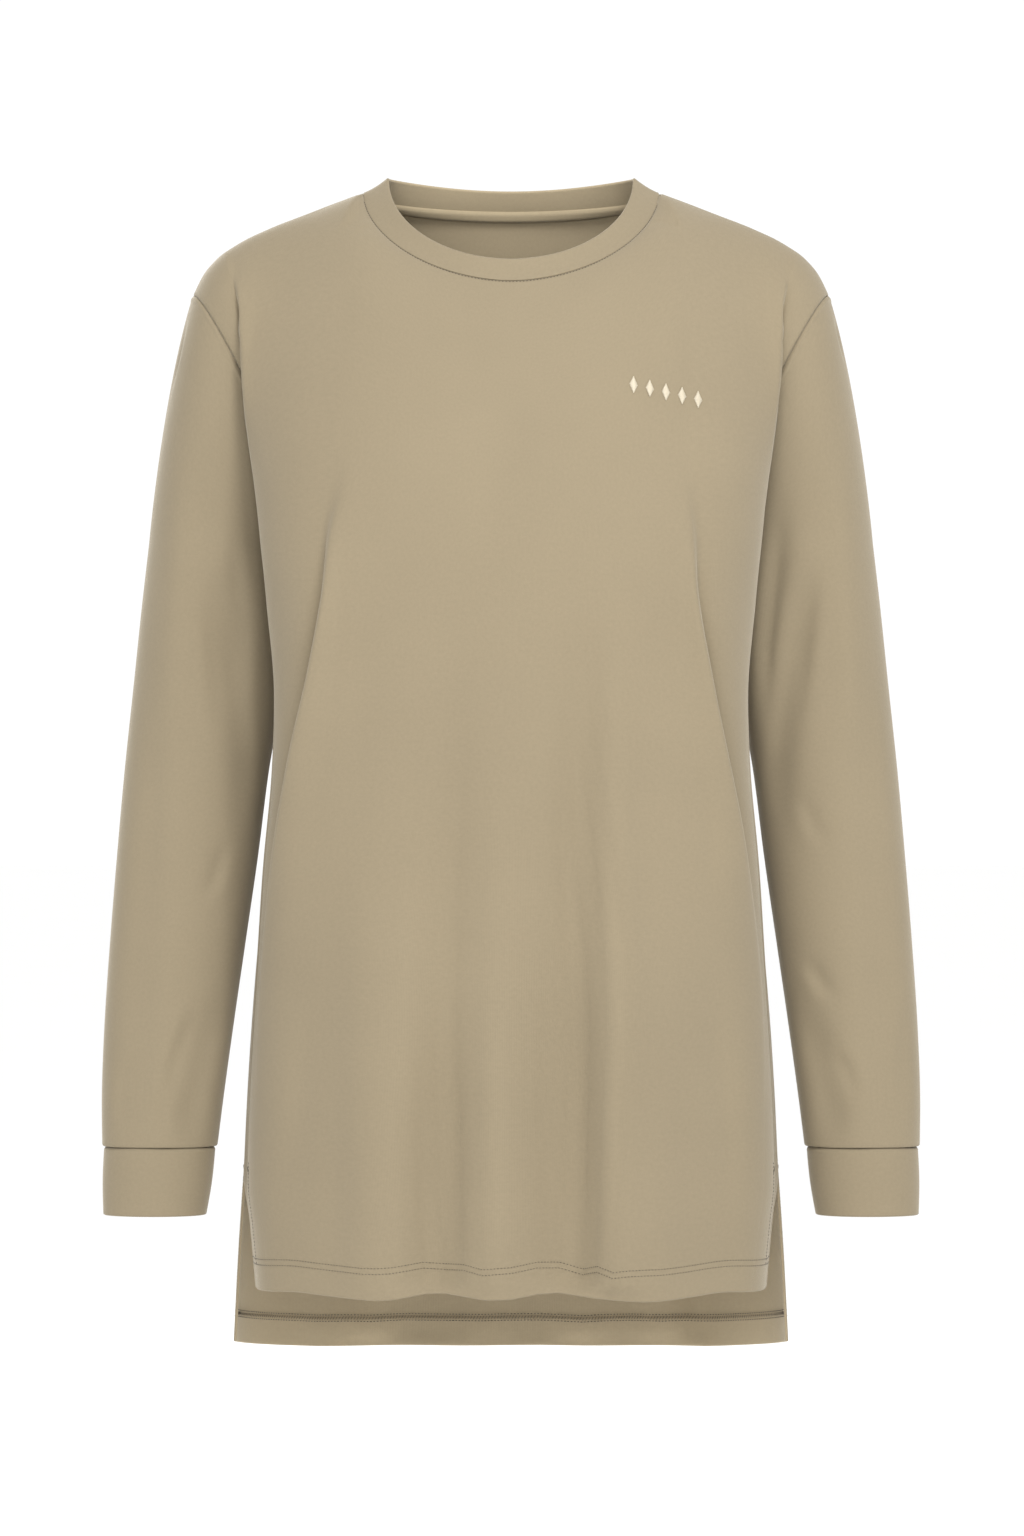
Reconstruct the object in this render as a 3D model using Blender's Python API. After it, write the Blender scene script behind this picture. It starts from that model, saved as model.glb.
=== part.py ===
"""Long-sleeve training top, filled out as if worn, with nobody inside.

A crew-neck tunic in plain knit: front, longer back, two drop-shoulder
sleeves, two deep cuffs, a folded neckband and the tape inside the back neck.
The sides are open in slits above a stepped hem.

Metres, +Z up, the front faces -Y, +X is the wearer's left. The origin lies
midway between the two points where neckband and shoulder seams meet, where
the wearer's shoulders hold the garment up.
"""

import math
from collections import namedtuple

import bmesh
import bpy
import numpy as np

# Cloth and seams
CLOTH = 0.0016
DOUBLE_CLOTH = 0.0026
TAPE_CLOTH = 0.0010
SEAM_GAP = 0.0003
TAPE_GAP = 0.0009
TAPE_TOP = 0.0006
TAPE_BOTTOM = 0.0076

# Neckline seam: half width, and how far it drops and reaches from the
# shoulder point to the front and back centre
NECK_HALF_WIDTH = 0.1032
NECK_SHOULDER_Y = 0.006
NECK_FRONT_REACH = 0.084
NECK_FRONT_DROP = 0.0670
NECK_BACK_REACH = 0.049
NECK_BACK_DROP = 0.0101
NECK_ROUNDNESS = 1.08

# Folded top edge of the neckband
BAND_HALF_WIDTH = 0.0861
BAND_SHOULDER_Y = 0.004
BAND_SHOULDER_RISE = 0.0105
BAND_FRONT_REACH = 0.074
BAND_FRONT_DROP = 0.0617
BAND_BACK_REACH = 0.043
BAND_BACK_DROP = 0.0060
BAND_BACK_DIP = 2.5
BAND_BULGE = np.array((0.0, 0.0, 0.004))

# Armhole: an oval through the shoulder tip and the underarm point
SHOULDER_TIP = np.array((0.2237, 0.0150, -0.0728))
UNDERARM = np.array((0.1580, 0.0250, -0.2050))
ARMHOLE_FRONT = np.array((-0.0040, -0.0500, 0.0080))
ARMHOLE_BACK = np.array((-0.0040, 0.0430, 0.0060))
ARMHOLE_AXIS = np.cross(SHOULDER_TIP - UNDERARM, ARMHOLE_FRONT)
ARMHOLE_AXIS /= np.linalg.norm(ARMHOLE_AXIS)

# Levels, as drops below the origin
CHEST_DROP = 0.205
SLIT_DROP = 0.6815
FRONT_HEM_DROP = 0.7655
BACK_HEM_DROP = 0.8055
BACK_HEM_DIP = 0.0110
HEM_TURN_UP = 0.020
HEM_STEP = 0.0015

# Fineness of the panels
NECK_COLUMNS = 6
CHEST_COLUMNS = 8
SIDE_COLUMNS = 4
HALF_COLUMNS = NECK_COLUMNS + CHEST_COLUMNS + SIDE_COLUMNS
YOKE_ROWS = 10
CAP_ROWS = 5
RING_COLUMNS = 2 * YOKE_ROWS

# Where the neckline ends among the columns, as an angle round the chest
NECK_ANGLE = math.radians(42.0)

# How far the shoulder seam rises over the straight line from the neck (share 0)
# to the shoulder tip (share 1), and how strongly the panels leave it level
ShoulderRow = namedtuple("ShoulderRow", "share rise front_lead back_lead")
SHOULDER_ROWS = (
    ShoulderRow(0.000, 0.0000, 0.162, 0.166),
    ShoulderRow(0.070, 0.0022, 0.157, 0.156),
    ShoulderRow(0.300, 0.0082, 0.139, 0.124),
    ShoulderRow(0.550, 0.0150, 0.128, 0.100),
    ShoulderRow(0.740, 0.0176, 0.118, 0.090),
    ShoulderRow(0.870, 0.0155, 0.108, 0.088),
    ShoulderRow(0.940, 0.0102, 0.104, 0.088),
    ShoulderRow(1.000, 0.0000, 0.100, 0.088),
)

# The torso's half section at a drop below the origin. The front swells from
# front_y at the centre to the fold edge, tucks in by tuck behind it and runs
# back to the side seam.
TorsoRow = namedtuple("TorsoRow", "drop front_y edge_x edge_y tuck seam_x seam_y back_y")
TORSO_ROWS = (
    TorsoRow(0.205, -0.124, 0.1755, -0.034, 0.0090, 0.1580, 0.025, 0.110),
    TorsoRow(0.222, -0.126, 0.1745, -0.033, 0.0080, 0.1510, 0.029, 0.111),
    TorsoRow(0.245, -0.127, 0.1735, -0.032, 0.0060, 0.1465, 0.034, 0.112),
    TorsoRow(0.285, -0.127, 0.1705, -0.030, 0.0030, 0.1440, 0.037, 0.112),
    TorsoRow(0.345, -0.124, 0.1655, -0.028, 0.0010, 0.1480, 0.032, 0.110),
    TorsoRow(0.405, -0.121, 0.1670, -0.022, 0.0000, 0.1590, 0.024, 0.108),
    TorsoRow(0.465, -0.119, 0.1725, -0.016, 0.0000, 0.1705, 0.012, 0.108),
    TorsoRow(0.525, -0.119, 0.1765, -0.012, 0.0000, 0.1768, 0.006, 0.109),
    TorsoRow(0.585, -0.120, 0.1800, -0.010, 0.0000, 0.1817, 0.002, 0.111),
    TorsoRow(0.635, -0.121, 0.1825, -0.009, 0.0000, 0.1848, 0.001, 0.112),
    TorsoRow(0.6815, -0.121, 0.1840, -0.009, 0.0000, 0.1870, 0.000, 0.113),
)

# Below the slit top the two panels part: each has its own side edge
EdgeRow = namedtuple("EdgeRow", "drop centre_y edge_x edge_y")
FRONT_EDGE_ROWS = (
    EdgeRow(0.6815, -0.121, 0.1870, -0.001),
    EdgeRow(0.7200, -0.122, 0.1825, -0.010),
    EdgeRow(0.7700, -0.122, 0.1778, -0.020),
)
BACK_EDGE_ROWS = (
    EdgeRow(0.6815, 0.113, 0.1870, 0.001),
    EdgeRow(0.7300, 0.114, 0.1905, 0.006),
    EdgeRow(0.8200, 0.115, 0.1955, 0.012),
)

# A sleeve's level sections, from below the cap to the cuff seam
SleeveRow = namedtuple("SleeveRow", "drop outer_x inner_x centre_y half_depth")
SLEEVE_ROWS = (
    SleeveRow(0.245, 0.2550, 0.1580, 0.034, 0.0480),
    SleeveRow(0.285, 0.2597, 0.1575, 0.035, 0.0470),
    SleeveRow(0.345, 0.2660, 0.1605, 0.035, 0.0450),
    SleeveRow(0.405, 0.2722, 0.1705, 0.032, 0.0430),
    SleeveRow(0.465, 0.2773, 0.1780, 0.027, 0.0410),
    SleeveRow(0.525, 0.2818, 0.1865, 0.021, 0.0390),
    SleeveRow(0.585, 0.2855, 0.1950, 0.015, 0.0365),
    SleeveRow(0.635, 0.2870, 0.2017, 0.010, 0.0345),
    SleeveRow(0.668, 0.2866, 0.2058, 0.008, 0.0330),
)
CUFF_ROWS = (
    SleeveRow(0.6685, 0.2852, 0.2072, 0.008, 0.0318),
    SleeveRow(0.6920, 0.2855, 0.2098, 0.006, 0.0308),
    SleeveRow(0.7160, 0.2853, 0.2132, 0.004, 0.0296),
)

# Long soft folds. A fold runs from one point of a panel to another, rises
# over its first part and keeps its height to the end.
Fold = namedtuple("Fold", "top_x top_drop end_x end_drop half_width rise")
FRONT_FOLDS = (
    Fold(-0.122, 0.215, -0.163, 0.450, 0.020, 0.009),
    Fold(0.126, 0.215, 0.161, 0.450, 0.020, 0.009),
    Fold(-0.142, 0.420, -0.150, 0.780, 0.018, -0.004),
    Fold(-0.075, 0.450, -0.092, 0.780, 0.026, 0.006),
    Fold(-0.045, 0.540, -0.052, 0.780, 0.019, -0.009),
    Fold(-0.010, 0.540, -0.0095, 0.780, 0.018, 0.005),
    Fold(0.024, 0.480, 0.029, 0.780, 0.020, -0.009),
    Fold(0.070, 0.420, 0.094, 0.780, 0.030, 0.008),
    Fold(0.140, 0.460, 0.146, 0.780, 0.018, -0.004),
)
BACK_FOLDS = (
    Fold(-0.104, 0.250, -0.128, 0.830, 0.024, 0.007),
    Fold(-0.066, 0.430, -0.080, 0.830, 0.022, -0.007),
    Fold(-0.022, 0.330, -0.034, 0.830, 0.024, 0.006),
    Fold(0.012, 0.470, 0.016, 0.830, 0.019, -0.006),
    Fold(0.050, 0.380, 0.058, 0.830, 0.023, 0.006),
    Fold(0.090, 0.300, 0.106, 0.830, 0.024, -0.006),
    Fold(0.116, 0.260, 0.142, 0.830, 0.020, 0.007),
)
SLEEVE_FOLDS = (
    Fold(0.208, 0.250, 0.186, 0.400, 0.011, -0.006),
    Fold(0.232, 0.160, 0.240, 0.330, 0.014, 0.004),
    Fold(0.205, 0.560, 0.222, 0.640, 0.012, -0.005),
    Fold(0.255, 0.420, 0.262, 0.620, 0.014, -0.003),
)
FOLD_ONSET = 0.45
PLAIN_FROM = 0.75
FRONT_HEM_FOLLOWS = 0.35
BACK_HEM_FOLLOWS = 0.12

# Shape of the sections and of the yoke
SLIT_EDGE_TURN = 0.0080
SLIT_EDGE_CURVE = 0.0012
SIDE_LEAD = 0.9
CHEST_SQUARENESS = 0.86
BACK_SQUARENESS = 0.84
NECK_SPREAD = 0.055
NECK_SPREAD_FADE = 3
NECK_END_LEAD = 0.130
FRONT_NECK_LEAD = (0.060, 0.110)
BACK_NECK_LEAD = (0.075, 0.100)
CHEST_LEAD_DROP = 0.150
FOLD_AT_SHOULDER = 0.74
FRONT_ARMHOLE_PULL = 1.5
BACK_ARMHOLE_PULL = 1.15
CAP_LEAD_OUT = 0.050
CAP_LEAD_SIDES = 0.040
CAP_LEAD_FORWARD = 0.012
CAP_LEAD_DROP = 0.040
CAP_LEAD_TOP_DROP = 0.120
CAP_END_LEAD = np.array((0.010, 0.002, -0.060))
CAP_END_TOP_DROP = 0.050

# Points nearer than WELD are one point. A crease whose panels turn further
# apart than this cosine is deep.
WELD = 0.0000073
DEEP_CREASE = 0.64


def smooth_value(rows, column, place):
    """Reads a column of a table on a smooth curve through its rows. The first column
    says where each row lies."""
    places = np.array([row[0] for row in rows])
    values = np.array([getattr(row, column) for row in rows])
    slopes = np.gradient(values, places)
    at = min(max(place, places[0]), places[-1])
    k = int(np.clip(np.searchsorted(places, at) - 1, 0, len(places) - 2))
    span = places[k + 1] - places[k]
    return hermite(values[k], slopes[k] * span, values[k + 1], slopes[k + 1] * span,
                   (at - places[k]) / span)


def hermite(start, start_lead, end, end_lead, t):
    """Point of the smooth curve from start to end that leaves and arrives along the leads."""
    return ((2 * t**3 - 3 * t**2 + 1) * start + (t**3 - 2 * t**2 + t) * start_lead
            + (3 * t**2 - 2 * t**3) * end + (t**3 - t**2) * end_lead)


def ease(t):
    """Smooth step from 0 to 1."""
    t = min(max(t, 0.0), 1.0)
    return t * t * (3 - 2 * t)


def fold_height(folds, x, drop):
    """How far the folds lift a point of a panel out of its plain section."""
    height = 0.0
    for fold in folds:
        along = (drop - fold.top_drop) / (fold.end_drop - fold.top_drop)
        if along <= 0:
            continue
        middle = fold.top_x + (fold.end_x - fold.top_x) * min(along, 1.0)
        fade = ease(along / FOLD_ONSET) * (1 - ease((along - 1) / FOLD_ONSET))
        height += fold.rise * fade * math.exp(-((x - middle) / fold.half_width) ** 2)
    return height


def neck_point(angle, back):
    """Point of the neckline seam, from the centre (0) to the shoulder (a quarter turn)."""
    reach, drop = ((NECK_BACK_REACH, NECK_BACK_DROP) if back
                   else (-NECK_FRONT_REACH, NECK_FRONT_DROP))
    level = math.cos(angle) ** NECK_ROUNDNESS if angle < math.pi / 2 else 0.0
    return np.array((NECK_HALF_WIDTH * math.sin(angle) ** NECK_ROUNDNESS,
                     NECK_SHOULDER_Y + reach * math.cos(angle), -drop * level))


def shoulder_point(s):
    """Point of the shoulder seam, from the neckline (0) to the sleeve (1)."""
    neck = neck_point(math.pi / 2, False)
    point = neck + (SHOULDER_TIP - neck) * s
    point[2] += smooth_value(SHOULDER_ROWS, "rise", s)
    return point


def armhole_point(turn):
    """Point of the armhole, from the shoulder tip (0) round the front to the
    underarm (half a turn) and up the back."""
    middle = (SHOULDER_TIP + UNDERARM) / 2
    side = ARMHOLE_FRONT if turn <= math.pi else ARMHOLE_BACK
    return (middle + (SHOULDER_TIP - UNDERARM) / 2 * math.cos(turn)
            + side * abs(math.sin(turn)))


def column_angle(j, last):
    """Angle round the chest of a column, from the centre to a quarter turn at the last."""
    if j <= NECK_COLUMNS:
        return NECK_ANGLE * j / NECK_COLUMNS
    return NECK_ANGLE + (math.pi / 2 - NECK_ANGLE) * (j - NECK_COLUMNS) / (last - NECK_COLUMNS)


def front_section(j, drop):
    """Point of the front's plain half section in column j."""
    edge_column = NECK_COLUMNS + CHEST_COLUMNS
    if drop > SLIT_DROP:
        centre_y = smooth_value(FRONT_EDGE_ROWS, "centre_y", drop)
        edge_x = smooth_value(FRONT_EDGE_ROWS, "edge_x", drop)
        edge_y = smooth_value(FRONT_EDGE_ROWS, "edge_y", drop)
        fold_y = edge_y - SLIT_EDGE_TURN
        fold_x = edge_x - SLIT_EDGE_CURVE
        tuck = 0.0
    else:
        tuck = smooth_value(TORSO_ROWS, "tuck", drop)
        centre_y = smooth_value(TORSO_ROWS, "front_y", drop)
        fold_x = smooth_value(TORSO_ROWS, "edge_x", drop)
        fold_y = smooth_value(TORSO_ROWS, "edge_y", drop)
        edge_x = smooth_value(TORSO_ROWS, "seam_x", drop)
        edge_y = smooth_value(TORSO_ROWS, "seam_y", drop)
    if j <= edge_column:
        angle = column_angle(j, edge_column)
        across = math.sin(angle) ** CHEST_SQUARENESS
        forward = math.cos(angle) ** CHEST_SQUARENESS if j < edge_column else 0.0
        return np.array((fold_x * across, fold_y + (centre_y - fold_y) * forward, -drop))
    t = (j - edge_column) / SIDE_COLUMNS
    lead = np.array((0.0, SIDE_LEAD * (edge_y - fold_y), 0.0))
    start = np.array((fold_x, fold_y, -drop))
    end = np.array((edge_x, edge_y, -drop))
    point = hermite(start, lead, end, lead, t)
    point[0] -= tuck * math.sin(math.pi * t)
    return point


def back_section(j, drop):
    """Point of the back's plain half section in column j."""
    rows, names = ((BACK_EDGE_ROWS, ("centre_y", "edge_x", "edge_y")) if drop > SLIT_DROP
                   else (TORSO_ROWS, ("back_y", "seam_x", "seam_y")))
    centre_y, edge_x, edge_y = (smooth_value(rows, name, drop) for name in names)
    angle = column_angle(j, HALF_COLUMNS)
    across = math.sin(angle) ** BACK_SQUARENESS
    backward = math.cos(angle) ** BACK_SQUARENESS if j < HALF_COLUMNS else 0.0
    return np.array((edge_x * across, edge_y + (centre_y - edge_y) * backward, -drop))


def yoke_point(j, t, back):
    """Point of a panel between its neckline or shoulder seam (t 0) and the chest (t 1)."""
    if j < NECK_COLUMNS:
        angle = math.pi / 2 * j / NECK_COLUMNS
        top = neck_point(angle, back)
        turned = math.sin(angle) ** 2
        spread = NECK_SPREAD * math.sin(angle)
        strength = NECK_END_LEAD
    else:
        if j <= NECK_COLUMNS + CHEST_COLUMNS:
            s = FOLD_AT_SHOULDER * (j - NECK_COLUMNS) / CHEST_COLUMNS
        else:
            s = FOLD_AT_SHOULDER + (1 - FOLD_AT_SHOULDER) * (
                j - NECK_COLUMNS - CHEST_COLUMNS) / SIDE_COLUMNS
        top = shoulder_point(s)
        turned = 1.0
        spread = NECK_SPREAD * (1 - s) ** NECK_SPREAD_FADE
        strength = smooth_value(SHOULDER_ROWS, "back_lead" if back else "front_lead", s)
    forward = 1.0 if back else -1.0
    lead_y, lead_drop = BACK_NECK_LEAD if back else FRONT_NECK_LEAD
    neck_lead = np.array((0.0, forward * lead_y, -lead_drop))
    shoulder_lead = np.array((0.0, forward * strength, 0.0))
    lead = neck_lead * (1 - turned) + shoulder_lead * turned
    lead[0] = spread
    section = back_section if back else front_section
    end_lead = np.array((0.0, 0.0, -CHEST_LEAD_DROP))
    point = hermite(top, lead, section(j, CHEST_DROP), end_lead, t)
    first, power = ((NECK_COLUMNS, BACK_ARMHOLE_PULL) if back
                    else (NECK_COLUMNS + CHEST_COLUMNS // 2, FRONT_ARMHOLE_PULL))
    if j > first:
        plain = hermite(SHOULDER_TIP, shoulder_lead, section(HALF_COLUMNS, CHEST_DROP),
                        end_lead, t)
        turn = 2 * math.pi - math.pi * t if back else math.pi * t
        pull = ease((j - first) / (HALF_COLUMNS - first)) ** power
        point = point + (armhole_point(turn) - plain) * pull
    return point


def body_drops(back):
    """Levels of the rows below the chest: shared down to the slit, then each panel's own."""
    drops = [row.drop for row in TORSO_ROWS]
    hem = BACK_HEM_DROP if back else FRONT_HEM_DROP
    step = hem - HEM_TURN_UP
    drops += [(SLIT_DROP + step) / 2, step - HEM_STEP, step, hem]
    return drops


def panel_points(back):
    """Outer points of the front or the back, row by row from the shoulders to the hem."""
    section = back_section if back else front_section
    folds = BACK_FOLDS if back else FRONT_FOLDS
    out = 1.0 if back else -1.0
    hem = BACK_HEM_DROP if back else FRONT_HEM_DROP
    follows = BACK_HEM_FOLLOWS if back else FRONT_HEM_FOLLOWS
    columns = range(-HALF_COLUMNS, HALF_COLUMNS + 1)
    mirrored = lambda point, j: point * np.array((-1.0 if j < 0 else 1.0, 1.0, 1.0))
    rows = []
    for i in range(YOKE_ROWS):
        rows.append([mirrored(yoke_point(abs(j), i / YOKE_ROWS, back), j) for j in columns])
    for drop in body_drops(back):
        row = []
        for j in columns:
            point = mirrored(section(abs(j), drop), j)
            inside = 1 - ease((abs(j) / HALF_COLUMNS - PLAIN_FROM) / (1 - PLAIN_FROM))
            height = fold_height(folds, point[0], drop) * inside
            point[1] += out * height
            if drop > SLIT_DROP:
                share = (drop - SLIT_DROP) / (hem - SLIT_DROP)
                dip = BACK_HEM_DIP * math.cos(math.pi / 2 * j / HALF_COLUMNS) if back else 0.0
                point[2] -= share * (dip + follows * height)
            row.append(point)
        rows.append(row)
    return rows


def ring_point(rows, drop, turn, side):
    """Point of a level oval of a sleeve or cuff; turn 0 is its outer side, a quarter its front."""
    outer = smooth_value(rows, "outer_x", drop)
    inner = smooth_value(rows, "inner_x", drop)
    depth = smooth_value(rows, "half_depth", drop)
    middle_y = smooth_value(rows, "centre_y", drop)
    return np.array((side * ((outer + inner) / 2 + (outer - inner) / 2 * math.cos(turn)),
                     middle_y - depth * math.sin(turn), -drop))


def sleeve_points(side):
    """Outer points of a sleeve, ring by ring from the armhole to the cuff seam."""
    turns = [2 * math.pi * k / RING_COLUMNS for k in range(RING_COLUMNS)]
    flip = np.array((side, 1.0, 1.0))
    first_drop = SLEEVE_ROWS[0].drop
    rows = []
    for i in range(CAP_ROWS):
        row = []
        for turn in turns:
            high = (1 + math.cos(turn)) / 2
            lead = np.array((CAP_LEAD_OUT * high + CAP_LEAD_SIDES * math.sin(turn) ** 2,
                             -CAP_LEAD_FORWARD * math.sin(turn),
                             -CAP_LEAD_DROP - CAP_LEAD_TOP_DROP * high))
            end = ring_point(SLEEVE_ROWS, first_drop, turn, 1.0)
            end_lead = CAP_END_LEAD - np.array((0.0, 0.0, CAP_END_TOP_DROP * high))
            row.append(hermite(armhole_point(turn), lead, end, end_lead, i / CAP_ROWS) * flip)
        rows.append(row)
    for sleeve_row in SLEEVE_ROWS:
        rows.append([ring_point(SLEEVE_ROWS, sleeve_row.drop, turn, side) for turn in turns])
    for row in rows[1:]:
        for point, turn in zip(row, turns):
            height = fold_height(SLEEVE_FOLDS, side * point[0], -point[2])
            point[1] -= height * max(math.sin(turn), 0.0)
    return rows


def cuff_points(side):
    """Outer points of a cuff, from its seam down to its folded edge."""
    turns = [2 * math.pi * k / RING_COLUMNS for k in range(RING_COLUMNS)]
    return [[ring_point(CUFF_ROWS, row.drop, turn, side) for turn in turns] for row in CUFF_ROWS]


def neckband_points():
    """Outer points of the neckband, from its folded top edge down to the neckline seam."""
    top, seam = [], []
    quarter = NECK_COLUMNS
    for k in range(4 * quarter):
        turn = math.pi / 2 * k / quarter
        back = math.cos(turn) < -1e-9
        side = 1.0 if math.sin(turn) >= 0 else -1.0
        angle = math.asin(min(1.0, abs(math.sin(turn))))
        point = neck_point(angle, back)
        seam.append(point * np.array((side, 1.0, 1.0)))
        level = math.cos(angle)
        if back:
            y = BAND_SHOULDER_Y + BAND_BACK_REACH * level
            z = BAND_SHOULDER_RISE - BAND_BACK_DROP * level**BAND_BACK_DIP
        else:
            y = BAND_SHOULDER_Y - BAND_FRONT_REACH * level
            z = BAND_SHOULDER_RISE - BAND_FRONT_DROP * level
        top.append(np.array((side * BAND_HALF_WIDTH * math.sin(angle), y, z)))
    middle = [hermite(a, b - a - BAND_BULGE, b, b - a + BAND_BULGE, 0.5)
              for a, b in zip(top, seam)]
    return [top, middle, seam]


def surface_normals(panels):
    """Unit outward direction at every point. Panels that meet share it, except in the
    deep crease under the arm, where each keeps its own."""
    total = {}
    own = {name: {} for name in panels}
    key = lambda point: tuple(np.round(point / WELD).astype(int))
    for name, (rows, closed, out) in panels.items():
        width = len(rows[0])
        for i in range(len(rows) - 1):
            for j in range(width if closed else width - 1):
                corners = (rows[i][j], rows[i][(j + 1) % width],
                           rows[i + 1][(j + 1) % width], rows[i + 1][j])
                normal = out * np.cross(corners[2] - corners[0], corners[3] - corners[1])
                normal /= np.linalg.norm(normal)
                for corner in corners:
                    for shares in (total, own[name]):
                        shares[key(corner)] = shares.get(key(corner), 0) + normal
    unit = lambda vector: vector / np.linalg.norm(vector)
    normals = {}
    for name, (rows, closed, out) in panels.items():
        normals[name] = []
        for row in rows:
            pairs = [(unit(own[name][key(p)]), unit(total[key(p)])) for p in row]
            normals[name].append([shared if alone @ shared > DEEP_CREASE else alone
                                  for alone, shared in pairs])
    return normals


def part_at_seams(name, rows):
    """Draws the sewn edges of a panel back by half a seam's gap."""
    moved = [[point.copy() for point in row] for row in rows]
    last_row, last = len(rows) - 1, len(rows[0]) - 1
    step = lambda a, b: (b - a) / np.linalg.norm(b - a) * SEAM_GAP / 2
    if name.startswith("sleeve"):
        side = 1.0 if name == "sleeve_left" else -1.0
        for j in range(last + 1):
            moved[0][j] += ARMHOLE_AXIS * (side, 1.0, 1.0) * SEAM_GAP
    elif name == "neckband":
        for j in range(last + 1):
            moved[last_row][j] += step(rows[last_row][j], rows[last_row - 1][j])
    else:
        for j in range(last + 1):
            moved[0][j] += step(rows[0][j], rows[1][j])
        for i in range(last_row + 1):
            moved[i][0] += step(rows[i][0], rows[i][1])
            moved[i][last] += step(rows[i][last], rows[i][last - 1])
    return moved


def knit_material(name, colour, roughness):
    """Plain matt knit."""
    material = bpy.data.materials.new(name)
    material.use_nodes = True
    shader = material.node_tree.nodes["Principled BSDF"]
    shader.inputs["Base Color"].default_value = (*colour, 1.0)
    shader.inputs["Roughness"].default_value = roughness
    shader.inputs["Metallic"].default_value = 0.0
    return material


def cloth_wall(name, outer, normals, thickness, closed, collection, material):
    """One closed wall of cloth: the outer points, the same points moved in, and the rims."""
    mesh = bmesh.new()
    height, width = len(outer), len(outer[0])
    skins = []
    for inner in (False, True):
        skins.append([[mesh.verts.new(outer[i][j] - normals[i][j] * thickness(i, j) * inner)
                       for j in range(width)] for i in range(height)])
    outside, inside = skins
    spans = width if closed else width - 1
    for i in range(height - 1):
        for j in range(spans):
            k = (j + 1) % width
            for skin in skins:
                mesh.faces.new((skin[i][j], skin[i][k], skin[i + 1][k], skin[i + 1][j]))
    for i in (0, height - 1):
        for j in range(spans):
            k = (j + 1) % width
            mesh.faces.new((outside[i][j], outside[i][k], inside[i][k], inside[i][j]))
    if not closed:
        for j in (0, width - 1):
            for i in range(height - 1):
                mesh.faces.new((outside[i][j], outside[i + 1][j],
                                inside[i + 1][j], inside[i][j]))
    bmesh.ops.recalc_face_normals(mesh, faces=mesh.faces)
    data = bpy.data.meshes.new(name)
    mesh.to_mesh(data)
    mesh.free()
    data.materials.append(material)
    data.shade_smooth()
    data.set_sharp_from_angle(angle=math.radians(50))
    piece = bpy.data.objects.new(name, data)
    collection.objects.link(piece)
    return piece


def panel_thickness(rows_count):
    """A panel's wall: doubled where the hem is turned up and along the slits."""
    slit_row = YOKE_ROWS + len(TORSO_ROWS)

    def thickness(i, j):
        edge = min(j, 2 * HALF_COLUMNS - j)
        turned = i >= rows_count - 2 or (i >= slit_row and edge <= 1)
        return DOUBLE_CLOTH if turned else CLOTH

    return thickness


def back_tape(back, normals, collection, material):
    """Narrow tape inside the back neck, below the neckband seam."""
    columns = range(HALF_COLUMNS - NECK_COLUMNS, HALF_COLUMNS + NECK_COLUMNS + 1)
    rows, directions = [], []
    for distance in (TAPE_TOP, (TAPE_TOP + TAPE_BOTTOM) / 2, TAPE_BOTTOM):
        row, row_normals = [], []
        for j in columns:
            down = back[1][j] - back[0][j]
            share = distance / np.linalg.norm(down)
            normal = normals[0][j] * (1 - share) + normals[1][j] * share
            normal /= np.linalg.norm(normal)
            row.append(back[0][j] + down * share - normal * (CLOTH + TAPE_GAP))
            row_normals.append(normal)
        rows.append(row)
        directions.append(row_normals)
    return cloth_wall("back_neck_tape", rows, directions, lambda i, j: TAPE_CLOTH, False,
                      collection, material)


def build():
    """Empties the scene and makes every piece of the garment."""
    for old in list(bpy.data.objects):
        bpy.data.objects.remove(old, do_unlink=True)
    collection = bpy.data.collections.new("training_top")
    bpy.context.scene.collection.children.link(collection)
    knit = knit_material("khaki_knit", (0.48, 0.39, 0.26), 0.85)
    cuff_knit = knit_material("khaki_cuff_knit", (0.47, 0.38, 0.25), 0.85)
    band_knit = knit_material("khaki_band_knit", (0.48, 0.39, 0.26), 0.85)
    tape_knit = knit_material("khaki_tape", (0.40, 0.32, 0.20), 0.80)

    panels = {
        "front": (panel_points(False), False, -1.0),
        "back": (panel_points(True), False, 1.0),
        "sleeve_left": (sleeve_points(1.0), True, 1.0),
        "sleeve_right": (sleeve_points(-1.0), True, -1.0),
        "neckband": (neckband_points(), True, -1.0),
    }
    normals = surface_normals(panels)
    materials = {"neckband": band_knit}
    for name, (rows, closed, out) in panels.items():
        if name in ("front", "back"):
            thickness = panel_thickness(len(rows))
        elif name == "neckband":
            thickness = lambda i, j: DOUBLE_CLOTH
        else:
            thickness = lambda i, j: CLOTH
        cloth_wall(name, part_at_seams(name, rows), normals[name], thickness, closed,
                   collection, materials.get(name, knit))

    cuffs = {"cuff_left": (cuff_points(1.0), True, 1.0),
             "cuff_right": (cuff_points(-1.0), True, -1.0)}
    cuff_normals = surface_normals(cuffs)
    for name, (rows, closed, out) in cuffs.items():
        cloth_wall(name, rows, cuff_normals[name], lambda i, j: DOUBLE_CLOTH, closed,
                   collection, cuff_knit)
    back_tape(panels["back"][0], normals["back"], collection, tape_knit)


build()
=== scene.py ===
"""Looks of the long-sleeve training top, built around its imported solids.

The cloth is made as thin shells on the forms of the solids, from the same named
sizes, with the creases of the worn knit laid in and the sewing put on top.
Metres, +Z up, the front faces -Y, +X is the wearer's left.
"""

import math
from collections import namedtuple

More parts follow.
